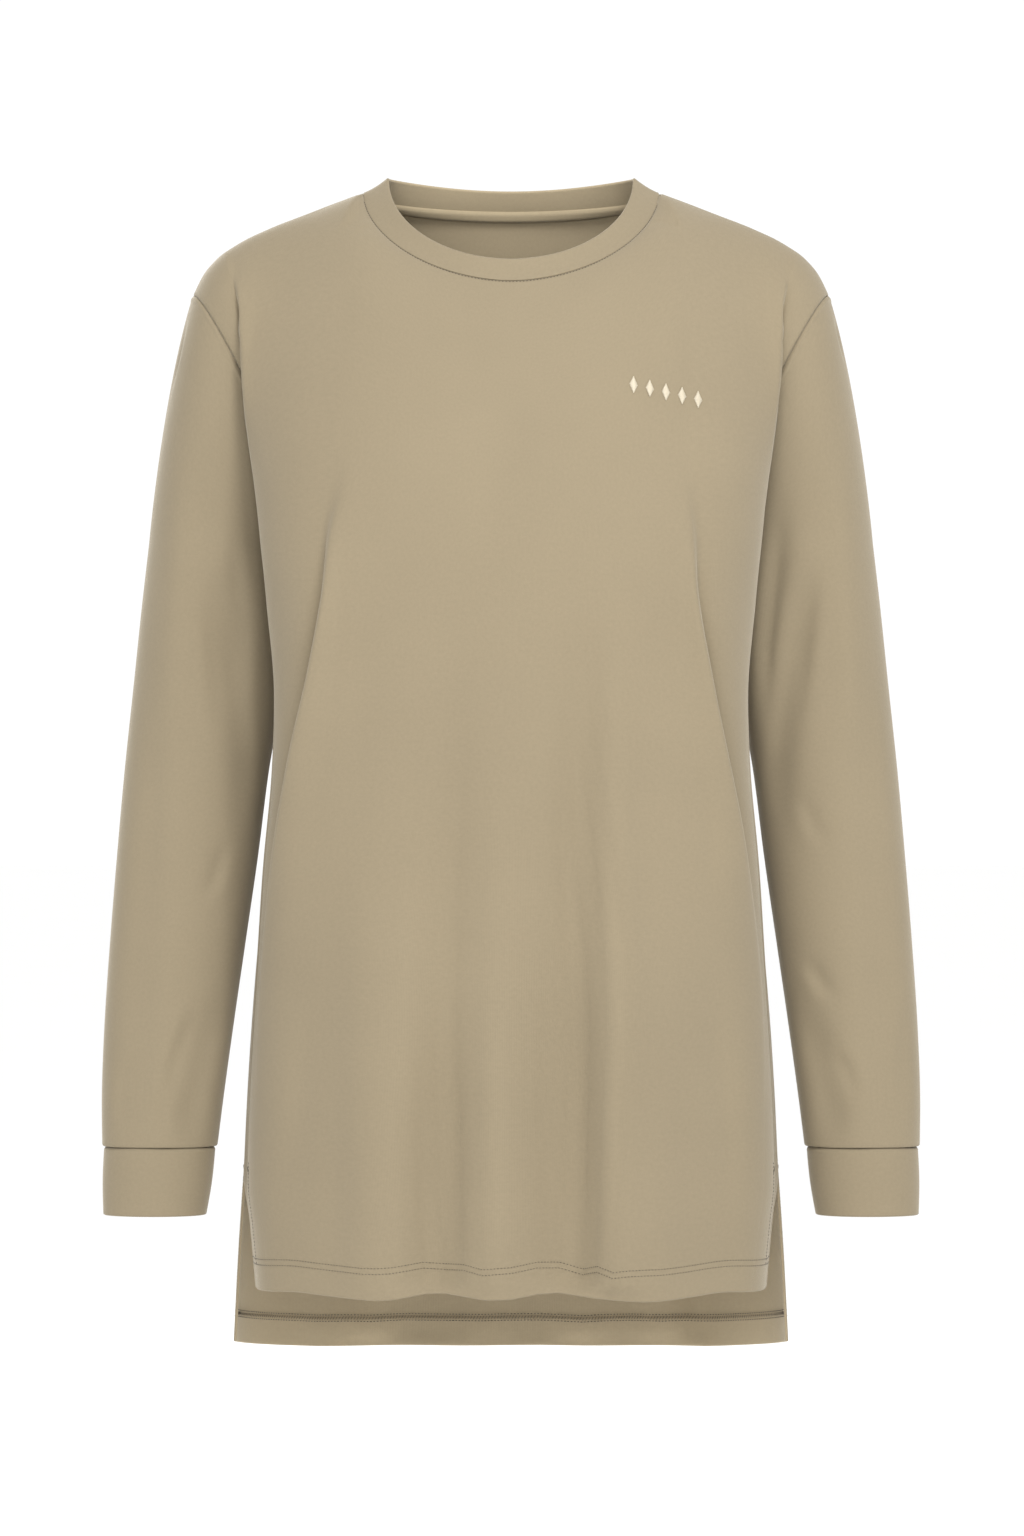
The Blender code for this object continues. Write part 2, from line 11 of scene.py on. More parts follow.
import bpy
import numpy as np
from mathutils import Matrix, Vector


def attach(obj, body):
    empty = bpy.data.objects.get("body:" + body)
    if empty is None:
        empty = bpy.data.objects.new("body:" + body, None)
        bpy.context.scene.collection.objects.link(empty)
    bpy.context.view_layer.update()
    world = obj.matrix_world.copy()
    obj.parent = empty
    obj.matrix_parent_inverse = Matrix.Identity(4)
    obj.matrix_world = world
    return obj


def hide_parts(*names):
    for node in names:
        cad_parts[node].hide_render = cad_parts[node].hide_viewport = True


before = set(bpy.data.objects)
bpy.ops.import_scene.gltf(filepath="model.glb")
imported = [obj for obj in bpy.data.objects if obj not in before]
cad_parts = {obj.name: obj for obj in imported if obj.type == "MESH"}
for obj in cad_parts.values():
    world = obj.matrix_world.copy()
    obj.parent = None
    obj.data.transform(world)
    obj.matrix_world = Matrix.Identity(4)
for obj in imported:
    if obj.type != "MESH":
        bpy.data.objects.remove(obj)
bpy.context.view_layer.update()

bl_info = {
    "name": "Training Top",
    "version": (1, 0, 0),
    "blender": (4, 5, 0),
    "location": "View3D > Sidebar > Training Top",
    "description": "Makes a long-sleeve knit training top and its plain studio",
    "category": "Add Mesh",
}

BODY = "root"


def table(columns, *rows):
    """Rows of a table with named columns."""
    kind = namedtuple("Row", columns)
    return [kind(*row) for row in rows]


# A piece of cloth as a grid of points, with 1 or -1 for the side that is out, and
# whether it goes all round; and the sizes of a stitch
Surface = namedtuple("Surface", "points out wrap")
Stitch = namedtuple("Stitch", "length gap width slant")
_surfaces = {}

# Neckline seam, from the shoulder point to the front and back centre
NECK_HALF_WIDTH = 0.1032
NECK_SHOULDER_Y = 0.006
NECK_FRONT_REACH = 0.084
NECK_FRONT_DROP = 0.0670
NECK_BACK_REACH = 0.049
NECK_BACK_DROP = 0.0101
NECK_ROUNDNESS = 1.08

# Folded top edge of the neckband
BAND_HALF_WIDTH = 0.0861
BAND_SHOULDER_Y = 0.004
BAND_SHOULDER_RISE = 0.0105
BAND_FRONT_REACH = 0.074
BAND_FRONT_DROP = 0.0617
BAND_BACK_REACH = 0.043
BAND_BACK_DROP = 0.0060
BAND_BACK_DIP = 2.5
BAND_BULGE = np.array((0.0, 0.0, 0.004))

# Armhole: an oval through the shoulder tip and the underarm point
SHOULDER_TIP = np.array((0.2237, 0.0150, -0.0728))
UNDERARM = np.array((0.1580, 0.0250, -0.2050))
ARMHOLE_FRONT = np.array((-0.0040, -0.0500, 0.0080))
ARMHOLE_BACK = np.array((-0.0040, 0.0430, 0.0060))

# Levels, as drops below the origin
CHEST_DROP = 0.205
SLIT_DROP = 0.6815
FRONT_HEM_DROP = 0.7655
BACK_HEM_DROP = 0.8055
BACK_HEM_DIP = 0.0110
HEM_TURN_UP = 0.020

# Columns of the panels: the neckline ends at the first, the fold under the arm
# lies on the second, and the side seam on the last
NECK_COLUMN = 6.0
FOLD_COLUMN = 14.0
SEAM_COLUMN = 18.0
NECK_ANGLE = math.radians(42.0)

TORSO_ROWS = table(
    "drop front_y edge_x edge_y tuck seam_x seam_y back_y",
    (0.205, -0.124, 0.1755, -0.034, 0.0090, 0.1580, 0.025, 0.110),
    (0.222, -0.126, 0.1745, -0.033, 0.0080, 0.1510, 0.029, 0.111),
    (0.245, -0.127, 0.1735, -0.032, 0.0060, 0.1465, 0.034, 0.112),
    (0.285, -0.127, 0.1705, -0.030, 0.0030, 0.1440, 0.037, 0.112),
    (0.345, -0.124, 0.1655, -0.028, 0.0010, 0.1480, 0.032, 0.110),
    (0.405, -0.121, 0.1670, -0.022, 0.0000, 0.1590, 0.024, 0.108),
    (0.465, -0.119, 0.1725, -0.016, 0.0000, 0.1705, 0.012, 0.108),
    (0.525, -0.119, 0.1765, -0.012, 0.0000, 0.1768, 0.006, 0.109),
    (0.585, -0.120, 0.1800, -0.010, 0.0000, 0.1817, 0.002, 0.111),
    (0.635, -0.121, 0.1825, -0.009, 0.0000, 0.1848, 0.001, 0.112),
    (0.6815, -0.121, 0.1840, -0.009, 0.0000, 0.1870, 0.000, 0.113),
)
EDGE_COLUMNS = "drop centre_y edge_x edge_y"
FRONT_EDGE_ROWS = table(
    EDGE_COLUMNS,
    (0.6815, -0.121, 0.1870, -0.001),
    (0.7200, -0.122, 0.1825, -0.010),
    (0.7700, -0.122, 0.1778, -0.020),
)
BACK_EDGE_ROWS = table(
    EDGE_COLUMNS,
    (0.6815, 0.113, 0.1870, 0.001),
    (0.7300, 0.114, 0.1905, 0.006),
    (0.8200, 0.115, 0.1955, 0.012),
)
SLEEVE_COLUMNS = "drop outer_x inner_x centre_y half_depth"
SLEEVE_ROWS = table(
    SLEEVE_COLUMNS,
    (0.245, 0.2550, 0.1580, 0.034, 0.0480),
    (0.285, 0.2597, 0.1575, 0.035, 0.0470),
    (0.345, 0.2660, 0.1605, 0.035, 0.0450),
    (0.405, 0.2722, 0.1705, 0.032, 0.0430),
    (0.465, 0.2773, 0.1780, 0.027, 0.0410),
    (0.525, 0.2818, 0.1865, 0.021, 0.0390),
    (0.585, 0.2855, 0.1950, 0.015, 0.0365),
    (0.635, 0.2870, 0.2017, 0.010, 0.0345),
    (0.668, 0.2866, 0.2058, 0.008, 0.0330),
)
CUFF_ROWS = table(
    SLEEVE_COLUMNS,
    (0.6685, 0.2852, 0.2072, 0.008, 0.0318),
    (0.6920, 0.2855, 0.2098, 0.006, 0.0308),
    (0.7160, 0.2853, 0.2132, 0.004, 0.0296),
)
SHOULDER_ROWS = table(
    "share rise front_lead back_lead",
    (0.000, 0.0000, 0.162, 0.166),
    (0.070, 0.0022, 0.157, 0.156),
    (0.300, 0.0082, 0.139, 0.124),
    (0.550, 0.0150, 0.128, 0.100),
    (0.740, 0.0176, 0.118, 0.090),
    (0.870, 0.0155, 0.108, 0.088),
    (0.940, 0.0102, 0.104, 0.088),
    (1.000, 0.0000, 0.100, 0.088),
)

# Long soft folds that the solids have too
FOLD_COLUMNS = "top_x top_drop end_x end_drop half_width rise"
FRONT_FOLDS = table(
    FOLD_COLUMNS,
    (-0.122, 0.215, -0.163, 0.450, 0.020, 0.009),
    (0.126, 0.215, 0.161, 0.450, 0.020, 0.009),
    (-0.142, 0.420, -0.150, 0.780, 0.018, -0.004),
    (-0.075, 0.450, -0.092, 0.780, 0.026, 0.006),
    (-0.045, 0.540, -0.052, 0.780, 0.019, -0.009),
    (-0.010, 0.540, -0.0095, 0.780, 0.018, 0.005),
    (0.024, 0.480, 0.029, 0.780, 0.020, -0.009),
    (0.070, 0.420, 0.094, 0.780, 0.030, 0.008),
    (0.140, 0.460, 0.146, 0.780, 0.018, -0.004),
)
BACK_FOLDS = table(
    FOLD_COLUMNS,
    (-0.104, 0.250, -0.128, 0.830, 0.024, 0.007),
    (-0.066, 0.430, -0.080, 0.830, 0.022, -0.007),
    (-0.022, 0.330, -0.034, 0.830, 0.024, 0.006),
    (0.012, 0.470, 0.016, 0.830, 0.019, -0.006),
    (0.050, 0.380, 0.058, 0.830, 0.023, 0.006),
    (0.090, 0.300, 0.106, 0.830, 0.024, -0.006),
    (0.116, 0.260, 0.142, 0.830, 0.020, 0.007),
)
SLEEVE_FOLDS = table(
    FOLD_COLUMNS,
    (0.208, 0.250, 0.186, 0.400, 0.011, -0.006),
    (0.232, 0.160, 0.240, 0.330, 0.014, 0.004),
    (0.205, 0.560, 0.222, 0.640, 0.012, -0.005),
    (0.255, 0.420, 0.262, 0.620, 0.014, -0.003),
)
FOLD_ONSET = 0.45
PLAIN_FROM = 0.75
FRONT_HEM_FOLLOWS = 0.35
BACK_HEM_FOLLOWS = 0.12

# Shape of the sections and of the yoke
SLIT_EDGE_TURN = 0.0080
SLIT_EDGE_CURVE = 0.0012
SLIT_BLEND = 0.034
SIDE_LEAD = 0.9
CHEST_SQUARENESS = 0.86
BACK_SQUARENESS = 0.84
CORNER_ACROSS = NECK_HALF_WIDTH + 0.004
CORNER_WIDTH = 0.030
CORNER_START = 0.012
CORNER_END = 0.170
CORNER_PASSES = 110
CORNER_GIVE = 0.35
NECK_SPREAD = 0.055
NECK_SPREAD_FADE = 3
NECK_END_LEAD = 0.130
NECK_LEAD_FROM = 4.4
FRONT_NECK_LEAD = (0.060, 0.110)
BACK_NECK_LEAD = (0.075, 0.100)
CHEST_LEAD_DROP = 0.150
CHEST_STEP = 0.001
FOLD_AT_SHOULDER = 0.74
FRONT_ARMHOLE_PULL = 1.5
BACK_ARMHOLE_PULL = 1.15
CAP_LEAD_OUT = 0.050
CAP_LEAD_SIDES = 0.040
CAP_LEAD_FORWARD = 0.012
CAP_LEAD_DROP = 0.040
CAP_LEAD_TOP_DROP = 0.120
CAP_END_LEAD = np.array((0.010, 0.002, -0.060))
CAP_END_TOP_DROP = 0.050

# The overlapping chest fold on either side, as the panel column that it follows
# at each level, and how high its lip stands there
LIP_ROWS = table(
    "level right_column left_column right_lip left_lip softness",
    (0.000, 4.60, 4.90, 0.0000, 0.0000, 0.0060),
    (0.120, 4.95, 5.30, 0.0000, 0.0000, 0.0060),
    (0.205, 5.40, 5.75, 0.0007, 0.0005, 0.0060),
    (0.240, 6.15, 6.20, 0.0032, 0.0026, 0.0042),
    (0.288, 6.90, 6.75, 0.0064, 0.0056, 0.0028),
    (0.343, 8.30, 8.10, 0.0076, 0.0068, 0.0026),
    (0.390, 9.55, 9.15, 0.0074, 0.0068, 0.0030),
    (0.433, 10.50, 10.10, 0.0054, 0.0050, 0.0038),
    (0.480, 11.30, 10.90, 0.0026, 0.0026, 0.0056),
    (0.560, 12.00, 11.80, 0.0008, 0.0008, 0.0070),
    (0.650, 11.20, 11.00, 0.0000, 0.0000, 0.0070),
    (0.820, 10.00, 9.90, 0.0000, 0.0000, 0.0070),
)
LIP_TROUGH = 2.2
LIP_REACH_IN = 0.022
LIP_REACH_OUT = 0.019

# The fold that hangs over the armhole seam in front of the arm
ARM_FOLD_ROWS = table(
    "level column lip shift",
    (0.000, 15.0, 0.0000, 0.000),
    (0.052, 15.0, 0.0000, 0.000),
    (0.068, 15.0, 0.0022, 0.001),
    (0.095, 14.8, 0.0042, 0.003),
    (0.130, 14.5, 0.0046, 0.005),
    (0.165, 14.2, 0.0036, 0.004),
    (0.205, 14.0, 0.0018, 0.002),
    (0.260, 14.0, 0.0006, 0.000),
    (0.320, 14.0, 0.0000, 0.000),
    (0.820, 14.0, 0.0000, 0.000),
)
ARM_FOLD_TROUGH = 1.5
ARM_FOLD_REACH_IN = 0.016
ARM_FOLD_REACH_OUT = 0.010
ARM_FOLD_SOFTNESS = 0.0013

# Creases: a path of (across, drop) points as seen from outside, half the width, how
# deep, and how much of a ridge stands beside it
CREASE_COLUMNS = "path half_width depth ridge"
FRONT_CREASES = table(
    CREASE_COLUMNS,
    (((0.0610, 0.240), (0.0565, 0.400), (0.0553, 0.600), (0.0553, 0.980)),
           0.0125, 0.0056, 3.5),
    (((-0.0280, 0.260), (-0.0320, 0.450), (-0.0350, 0.650), (-0.0400, 0.980)),
           0.0130, 0.0042, 2.8),
    (((-0.1120, 0.380), (-0.1165, 0.600), (-0.1165, 0.960)), 0.0110, 0.0012, 2.4),
    (((0.1080, 0.480), (0.1120, 0.600), (0.1150, 0.960)), 0.0120, 0.0006, -2.0),
    (((-0.111, 0.225), (-0.117, 0.285), (-0.128, 0.380)), 0.0080, 0.0011, 0.5),
    (((-0.100, 0.300), (-0.108, 0.420), (-0.116, 0.520)), 0.0090, 0.0009, -0.4),
    (((0.110, 0.222), (0.117, 0.300), (0.130, 0.400)), 0.0075, 0.0010, -0.5),
    (((0.124, 0.380), (0.138, 0.440), (0.143, 0.505)), 0.0055, 0.0009, 0.6),
    (((-0.006, 0.150), (-0.014, 0.230), (-0.010, 0.330)), 0.0220, 0.0010, 0.3),
    (((0.058, 0.250), (0.052, 0.350), (0.060, 0.470)), 0.0180, 0.0010, -0.4),
    (((-0.060, 0.330), (-0.064, 0.440), (-0.060, 0.560)), 0.0160, 0.0009, 0.5),
    (((-0.135, 0.540), (-0.146, 0.620), (-0.150, 0.700)), 0.0080, 0.0013, -0.6),
    (((0.137, 0.545), (0.150, 0.630), (0.154, 0.720)), 0.0085, 0.0012, 0.6),
    (((-0.172, 0.080), (-0.178, 0.115), (-0.180, 0.150)), 0.0060, 0.0006, 0.3),
    (((0.118, 0.600), (0.122, 0.690), (0.119, 0.755)), 0.0100, 0.0010, -0.3),
    (((-0.110, 0.640), (-0.113, 0.700), (-0.111, 0.755)), 0.0090, 0.0010, 0.3),
)
BACK_CREASES = table(
    CREASE_COLUMNS,
    (((-0.0700, 0.260), (-0.0820, 0.500), (-0.0900, 1.000)), 0.0140, 0.0026, 2.9),
    (((0.0260, 0.300), (0.0320, 0.550), (0.0360, 1.000)), 0.0150, 0.0028, -3.0),
    (((0.1000, 0.240), (0.1120, 0.500), (0.1200, 1.000)), 0.0130, 0.0022, 2.7),
    (((-0.0150, 0.420), (-0.0200, 0.650), (-0.0220, 1.000)), 0.0120, 0.0018, -2.4),
    (((-0.1300, 0.260), (-0.1440, 0.480), (-0.1520, 0.900)), 0.0120, 0.0020, -2.4),
    (((-0.150, 0.120), (-0.122, 0.190), (-0.104, 0.330)), 0.0100, 0.0038, 0.6),
    (((0.152, 0.115), (0.124, 0.180), (0.104, 0.300)), 0.0090, 0.0034, -0.6),
    (((-0.148, 0.205), (-0.132, 0.290), (-0.122, 0.420)), 0.0080, 0.0030, 0.7),
    (((0.146, 0.210), (0.134, 0.300), (0.126, 0.440)), 0.0085, 0.0032, -0.7),
    (((-0.050, 0.060), (0.000, 0.074), (0.052, 0.062)), 0.0120, 0.0008, 0.4),
    (((-0.030, 0.240), (-0.036, 0.350), (-0.032, 0.450)), 0.0150, 0.0011, 0.4),
    (((0.042, 0.260), (0.036, 0.340), (0.038, 0.430)), 0.0130, 0.0010, -0.4),
    (((-0.090, 0.500), (-0.098, 0.610), (-0.094, 0.730)), 0.0100, 0.0012, -0.5),
    (((0.072, 0.520), (0.080, 0.640), (0.078, 0.770)), 0.0110, 0.0013, 0.5),
    (((0.140, 0.560), (0.150, 0.660), (0.152, 0.760)), 0.0080, 0.0012, 0.4),
    (((-0.142, 0.520), (-0.155, 0.640), (-0.160, 0.760)), 0.0080, 0.0013, -0.4),
)

# Sleeve creases run over the tube: across is the distance round from the outer side
# towards the front (the back is negative)
RIGHT_SLEEVE_CREASES = table(
    CREASE_COLUMNS,
    (((0.088, 0.235), (0.102, 0.300), (0.108, 0.365)), 0.0085, 0.0034, 0.6),
    (((0.070, 0.265), (0.082, 0.330), (0.092, 0.400)), 0.0070, 0.0014, -0.4),
    (((0.012, 0.083), (0.016, 0.115), (0.013, 0.148)), 0.0035, 0.0012, 0.5),
    (((0.102, 0.450), (0.094, 0.482), (0.080, 0.500)), 0.0060, 0.0016, 0.5),
    (((0.086, 0.560), (0.070, 0.605), (0.058, 0.650)), 0.0065, 0.0019, -0.6),
    (((0.040, 0.360), (0.046, 0.430), (0.043, 0.520)), 0.0100, 0.0012, 0.4),
    (((0.058, 0.628), (0.062, 0.645), (0.060, 0.664)), 0.0045, 0.0009, 0.4),
    (((0.034, 0.600), (0.030, 0.635), (0.032, 0.664)), 0.0060, 0.0010, -0.4),
    (((-0.105, 0.235), (-0.085, 0.275), (-0.060, 0.300)), 0.0075, 0.0026, 0.6),
    (((-0.110, 0.300), (-0.088, 0.335), (-0.058, 0.352)), 0.0075, 0.0028, 0.6),
    (((-0.095, 0.370), (-0.072, 0.392), (-0.040, 0.398)), 0.0070, 0.0024, 0.5),
    (((-0.090, 0.420), (-0.064, 0.448), (-0.044, 0.490)), 0.0080, 0.0018, -0.5),
    (((-0.040, 0.560), (-0.052, 0.610), (-0.050, 0.660)), 0.0070, 0.0013, 0.4),
)
LEFT_SLEEVE_CREASES = table(
    CREASE_COLUMNS,
    (((0.091, 0.205), (0.103, 0.262), (0.115, 0.320), (0.121, 0.390)), 0.0070, 0.0038, 0.7),
    (((0.070, 0.250), (0.084, 0.318), (0.094, 0.380)), 0.0065, 0.0012, -0.4),
    (((0.010, 0.084), (0.014, 0.104), (0.013, 0.122)), 0.0035, 0.0011, 0.5),
    (((0.100, 0.535), (0.086, 0.556), (0.072, 0.566)), 0.0060, 0.0019, 0.6),
    (((0.082, 0.596), (0.070, 0.612), (0.060, 0.640)), 0.0060, 0.0016, -0.5),
    (((0.036, 0.330), (0.044, 0.420), (0.040, 0.500)), 0.0105, 0.0012, -0.4),
    (((0.024, 0.560), (0.030, 0.610), (0.028, 0.660)), 0.0065, 0.0011, 0.4),
    (((0.096, 0.420), (0.086, 0.446), (0.074, 0.462)), 0.0060, 0.0013, 0.5),
    (((-0.102, 0.240), (-0.080, 0.270), (-0.055, 0.288)), 0.0075, 0.0024, 0.6),
    (((-0.108, 0.310), (-0.086, 0.345), (-0.052, 0.366)), 0.0080, 0.0030, 0.6),
    (((-0.098, 0.385), (-0.070, 0.405), (-0.036, 0.412)), 0.0070, 0.0022, 0.5),
    (((-0.086, 0.440), (-0.060, 0.470), (-0.042, 0.520)), 0.0080, 0.0017, -0.5),
    (((-0.050, 0.580), (-0.046, 0.625), (-0.054, 0.662)), 0.0070, 0.0012, 0.4),
)

# Rows of the grids beside the hems, and the sewing, as distances from the edge
HEM_STEPS = (0.0300, 0.0270, 0.0250, 0.0240, 0.0230, 0.0220, 0.0210, 0.0200, 0.0190,
             0.0180, 0.0170, 0.0150, 0.0120, 0.0090, 0.0060, 0.0040, 0.0026, 0.0016,
             0.0010, 0.0006, 0.0003, 0.0001, 0.0)
TWIN_ROWS = (0.0182, 0.0222)
SLIT_TURNINGS = {"front": 0.0310, "back": 0.0095}
SLIT_STITCHES = {"front": 0.0290, "back": 0.0076}
BAR_LENGTH = 0.0095
BAR_SLOPE = 0.7
BAR_POINTS = 11
BAR_FROM_EDGE = 0.0012
BAR_TACKS = Stitch(0.0018, -0.0009, 0.00045, math.radians(70))
SLIT_ROW_START = 0.004
SLIT_ROWS_LEFT = 14
SLIT_TURNING_START = 0.004
TURNING_STEP = 0.0012
COVER_ROWS = (0.0180, 0.0226)
COVER_THREAD = 0.0007
COVER_LOOPS = Stitch(0.0034, -0.0012, 0.0004, math.radians(62))
ROW_LIFT = 0.0001
SEAM_CELLS = 2
THREAD_ROUGHNESS = 0.6
MARK_ROUGHNESS = 0.45
NECK_STITCH = 0.0012
NECK_ROW_CLEARANCE = 0.0004
STITCH_INPUTS = {"Stitch Length": "Float", "Stitch Gap": "Float", "Thread Width": "Float",
                 "Slant": "Float", "Seed": "Int", "Thread": "Material"}

# The tape inside the back neck: its cut width, how much of it shows, where it lies on
# the back's grid, and the rows of its own grid that are stitched
TAPE_SHOWN = 0.0070
TAPE_TOP = 0.0006
TAPE_HALF_SPAN = 31
TAPE_COLUMNS = 121
TAPE_CELLS = 12
TAPE_THICKNESS = 0.0005
TAPE_ROLL_SHARE = 0.6
TAPE_CLEARANCE = 0.0002
TAPE_ROWS = (1.4, 9.4, 11.3)
TAPE_ROW_DEPTH = 0.0006

# The chest mark: a short row of plain cream lozenges, where across and drop are its
# first and last middle
MARK_START = (0.0840, 0.1405)
MARK_END = (0.1285, 0.1500)
MARK_COUNT = 5
MARK_HALF_WIDTH = 0.0030
MARK_HALF_HEIGHT = 0.0062
MARK_LINES = 13
MARK_LINE_SPAN = 0.86
MARK_SLANT = 0.21
MARK_LIFT = 0.0003

# One thread of the mark: how full it is along its length, and its size
BEAD_RINGS = ((0.0, 0.25), (0.12, 0.8), (0.5, 1.0), (0.88, 0.8), (1.0, 0.25))
BEAD_SIDES = 6
BEAD_WIDTH = 0.00052
BEAD_HEIGHT = 0.0003
BEAD_CROWN = 0.0004

# Seam allowance that passes under the neighbouring piece: how far and how deep, the
# innermost row first
TUCK_STEPS = ((0.0062, 0.0030), (0.0045, 0.0027), (0.0030, 0.0025), (0.0015, 0.0023),
              (0.0006, 0.0021), (0.0002, 0.0017), (0.0, 0.0010))
SEAM_RIDGE = 0.0005
SEAM_RIDGE_PLACE = 0.0022
SEAM_RIDGE_WIDTH = 0.0012
SEAM_GROOVE = 0.6
SEAM_GROOVE_WIDTH = 0.0008
SLEEVE_END_ROLL = (0.0006, 0.0022, BACK_HEM_DROP)

# Where creases fade out: along their own length, and beside the edges of a piece
CREASE_FADE_IN = 0.4
CREASE_FADE_OUT = 0.45
PANEL_EDGE_FADE = 0.012
SLEEVE_EDGE_FADE = 0.010
SLEEVE_FOLD_FADE = 0.03
ARM_SHIFT_REACH_IN = 0.030
ARM_SHIFT_REACH_OUT = 0.012

# The cuff's slight unevenness, on its mean radius
CUFF_CELLS = 120
CUFF_RINGS = 40
CUFF_PUFF = 0.0005
CUFF_WAVE = 0.0003
CUFF_RADIUS = 0.035

# The least height of a rounded rim, and the height of a course against a wale's width
RIM_LEAST = 0.01
COURSE_SHARE = 0.8

# How much the grids crowd towards seams, hems and folds, from 0 to 1
TOWARDS_FOLD = 0.8
BEYOND_FOLD = 0.75
TOWARDS_SHOULDER = 0.8
TOWARDS_ARMHOLE = 0.85
TOWARDS_BAND_EDGES = 0.8
CUFF_CROWDING = (0.7, 0.9)
TAPE_CROWDING = (0.5, 0.5)

# Cells of the grids
INNER_CELLS = 30
OUTER_CELLS = 26
SIDE_CELLS = 24
CENTRE = INNER_CELLS + OUTER_CELLS + SIDE_CELLS
YOKE_ROWS = 92
FRONT_BODY_ROWS = 158
BACK_BODY_ROWS = 164
SLEEVE_CELLS = 150
CAP_CELLS = 46
SLEEVE_BODY_ROWS = 128
SLEEVE_END_STEPS = (0.0060, 0.0040, 0.0026, 0.0017, 0.0011, 0.0007, 0.0004, 0.0002, 0.0)
BAND_CELLS = 208
BAND_ROWS = 30

# The camera stands where the photograph's did: five metres away, level
CAMERA_PLACE = (0.0007, -5.0, -0.4032)
CAMERA_DISTANCE = 5.0
VIEW_HALF_HEIGHT = 768 * 0.0007
FLOOR_REACH = 40.0
LIGHT_AIM = (0.0, 0.0, -0.42)
LIGHTS = table(
    "name place size share",
    ("key_light", (0.60, -1.90, 1.25), 0.7, 1.0),
    ("front_fill", (-0.30, -2.60, 0.05), 1.0, 0.52),
    ("back_light", (-1.30, 2.20, 0.80), 1.0, 0.95),
)


def hermite(start, start_lead, end, end_lead, t):
    """Point of the smooth curve from start to end that leaves and arrives along the leads."""
    return ((2 * t**3 - 3 * t**2 + 1) * start + (t**3 - 2 * t**2 + t) * start_lead
            + (3 * t**2 - 2 * t**3) * end + (t**3 - t**2) * end_lead)


def smooth_value(rows, column, place):
    """Reads a column of a table at one or many places, on a smooth curve through its rows."""
    places = np.array([row[0] for row in rows])
    values = np.array([getattr(row, column) for row in rows])
    slopes = np.gradient(values, places)
    at = np.clip(place, places[0], places[-1])
    k = np.clip(np.searchsorted(places, at) - 1, 0, len(places) - 2)
    span = places[k + 1] - places[k]
    return hermite(values[k], slopes[k] * span, values[k + 1], slopes[k + 1] * span,
                   (at - places[k]) / span)


def read_row(rows, columns, place):
    """Reads several columns of a table at one place."""
    return [float(smooth_value(rows, column, place)) for column in columns.split()]


def ease(t):
    """Smooth step from 0 to 1."""
    t = np.clip(t, 0.0, 1.0)
    return t * t * (3 - 2 * t)


def points_of(x, y, z):
    """An array of points from its three coordinates."""
    return np.stack(np.broadcast_arrays(x, y, z), axis=-1).astype(float)


def neck_point(angle, back):
    """Points of the neckline seam, from the centre (0) to the shoulder (a quarter turn)."""
    reach, drop = ((NECK_BACK_REACH, NECK_BACK_DROP) if back
                   else (-NECK_FRONT_REACH, NECK_FRONT_DROP))
    level = np.clip(np.cos(angle), 0, 1) ** NECK_ROUNDNESS
    return points_of(NECK_HALF_WIDTH * np.clip(np.sin(angle), 0, 1) ** NECK_ROUNDNESS,
                     NECK_SHOULDER_Y + reach * np.cos(angle), -drop * level)


def shoulder_point(share):
    """Points of the shoulder seam, from the neckline (0) to the sleeve (1)."""
    neck = neck_point(np.pi / 2, False)
    points = neck + (SHOULDER_TIP - neck) * share[..., None]
    points[..., 2] += smooth_value(SHOULDER_ROWS, "rise", share)
    return points


def armhole_point(turn):
    """Points of the armhole, from the shoulder tip (0) round the front to the
    underarm (half a turn) and up the back."""
    turn = np.asarray(turn, dtype=float)[..., None]
    middle = (SHOULDER_TIP + UNDERARM) / 2
    side = np.where(turn <= np.pi, ARMHOLE_FRONT, ARMHOLE_BACK)
    return middle + (SHOULDER_TIP - UNDERARM) / 2 * np.cos(turn) + side * np.abs(np.sin(turn))


def column_angle(column, last):
    """Angle round the chest of a panel column, a quarter turn at the last."""
    beyond = NECK_ANGLE + (np.pi / 2 - NECK_ANGLE) * (column - NECK_COLUMN) / (last - NECK_COLUMN)
    return np.where(column <= NECK_COLUMN, NECK_ANGLE * column / NECK_COLUMN, beyond)


def front_outline(column, centre_y, fold_x, fold_y, edge_x, edge_y, tuck, drop):
    """One level half section of the front, at many columns."""
    angle = column_angle(np.minimum(column, FOLD_COLUMN), FOLD_COLUMN)
    across = np.sin(angle) ** CHEST_SQUARENESS
    forward = np.clip(np.cos(angle), 0, 1) ** CHEST_SQUARENESS
    chest = points_of(fold_x * across, fold_y + (centre_y - fold_y) * forward, -drop)
    t = np.clip((column - FOLD_COLUMN) / (SEAM_COLUMN - FOLD_COLUMN), 0, 1)[..., None]
    lead = np.array((0.0, SIDE_LEAD * (edge_y - fold_y), 0.0))
    side = hermite(np.array((fold_x, fold_y, -drop)), lead,
                   np.array((edge_x, edge_y, -drop)), lead, t)
    side[..., 0] -= tuck * np.sin(np.pi * t[..., 0])
    return np.where((column <= FOLD_COLUMN)[..., None], chest, side)


def front_section(column, drop):
    """Points of the front's plain half section at a drop."""
    torso = front_outline(column, *read_row(
        TORSO_ROWS, "front_y edge_x edge_y seam_x seam_y tuck", min(drop, SLIT_DROP)), drop)
    if drop <= SLIT_DROP:
        return torso
    centre_y, edge_x, edge_y = read_row(FRONT_EDGE_ROWS, "centre_y edge_x edge_y", drop)
    free = front_outline(column, centre_y, edge_x - SLIT_EDGE_CURVE, edge_y - SLIT_EDGE_TURN,
                         edge_x, edge_y, 0.0, drop)
    blend = float(ease((drop - SLIT_DROP) / SLIT_BLEND))
    return torso * (1 - blend) + free * blend


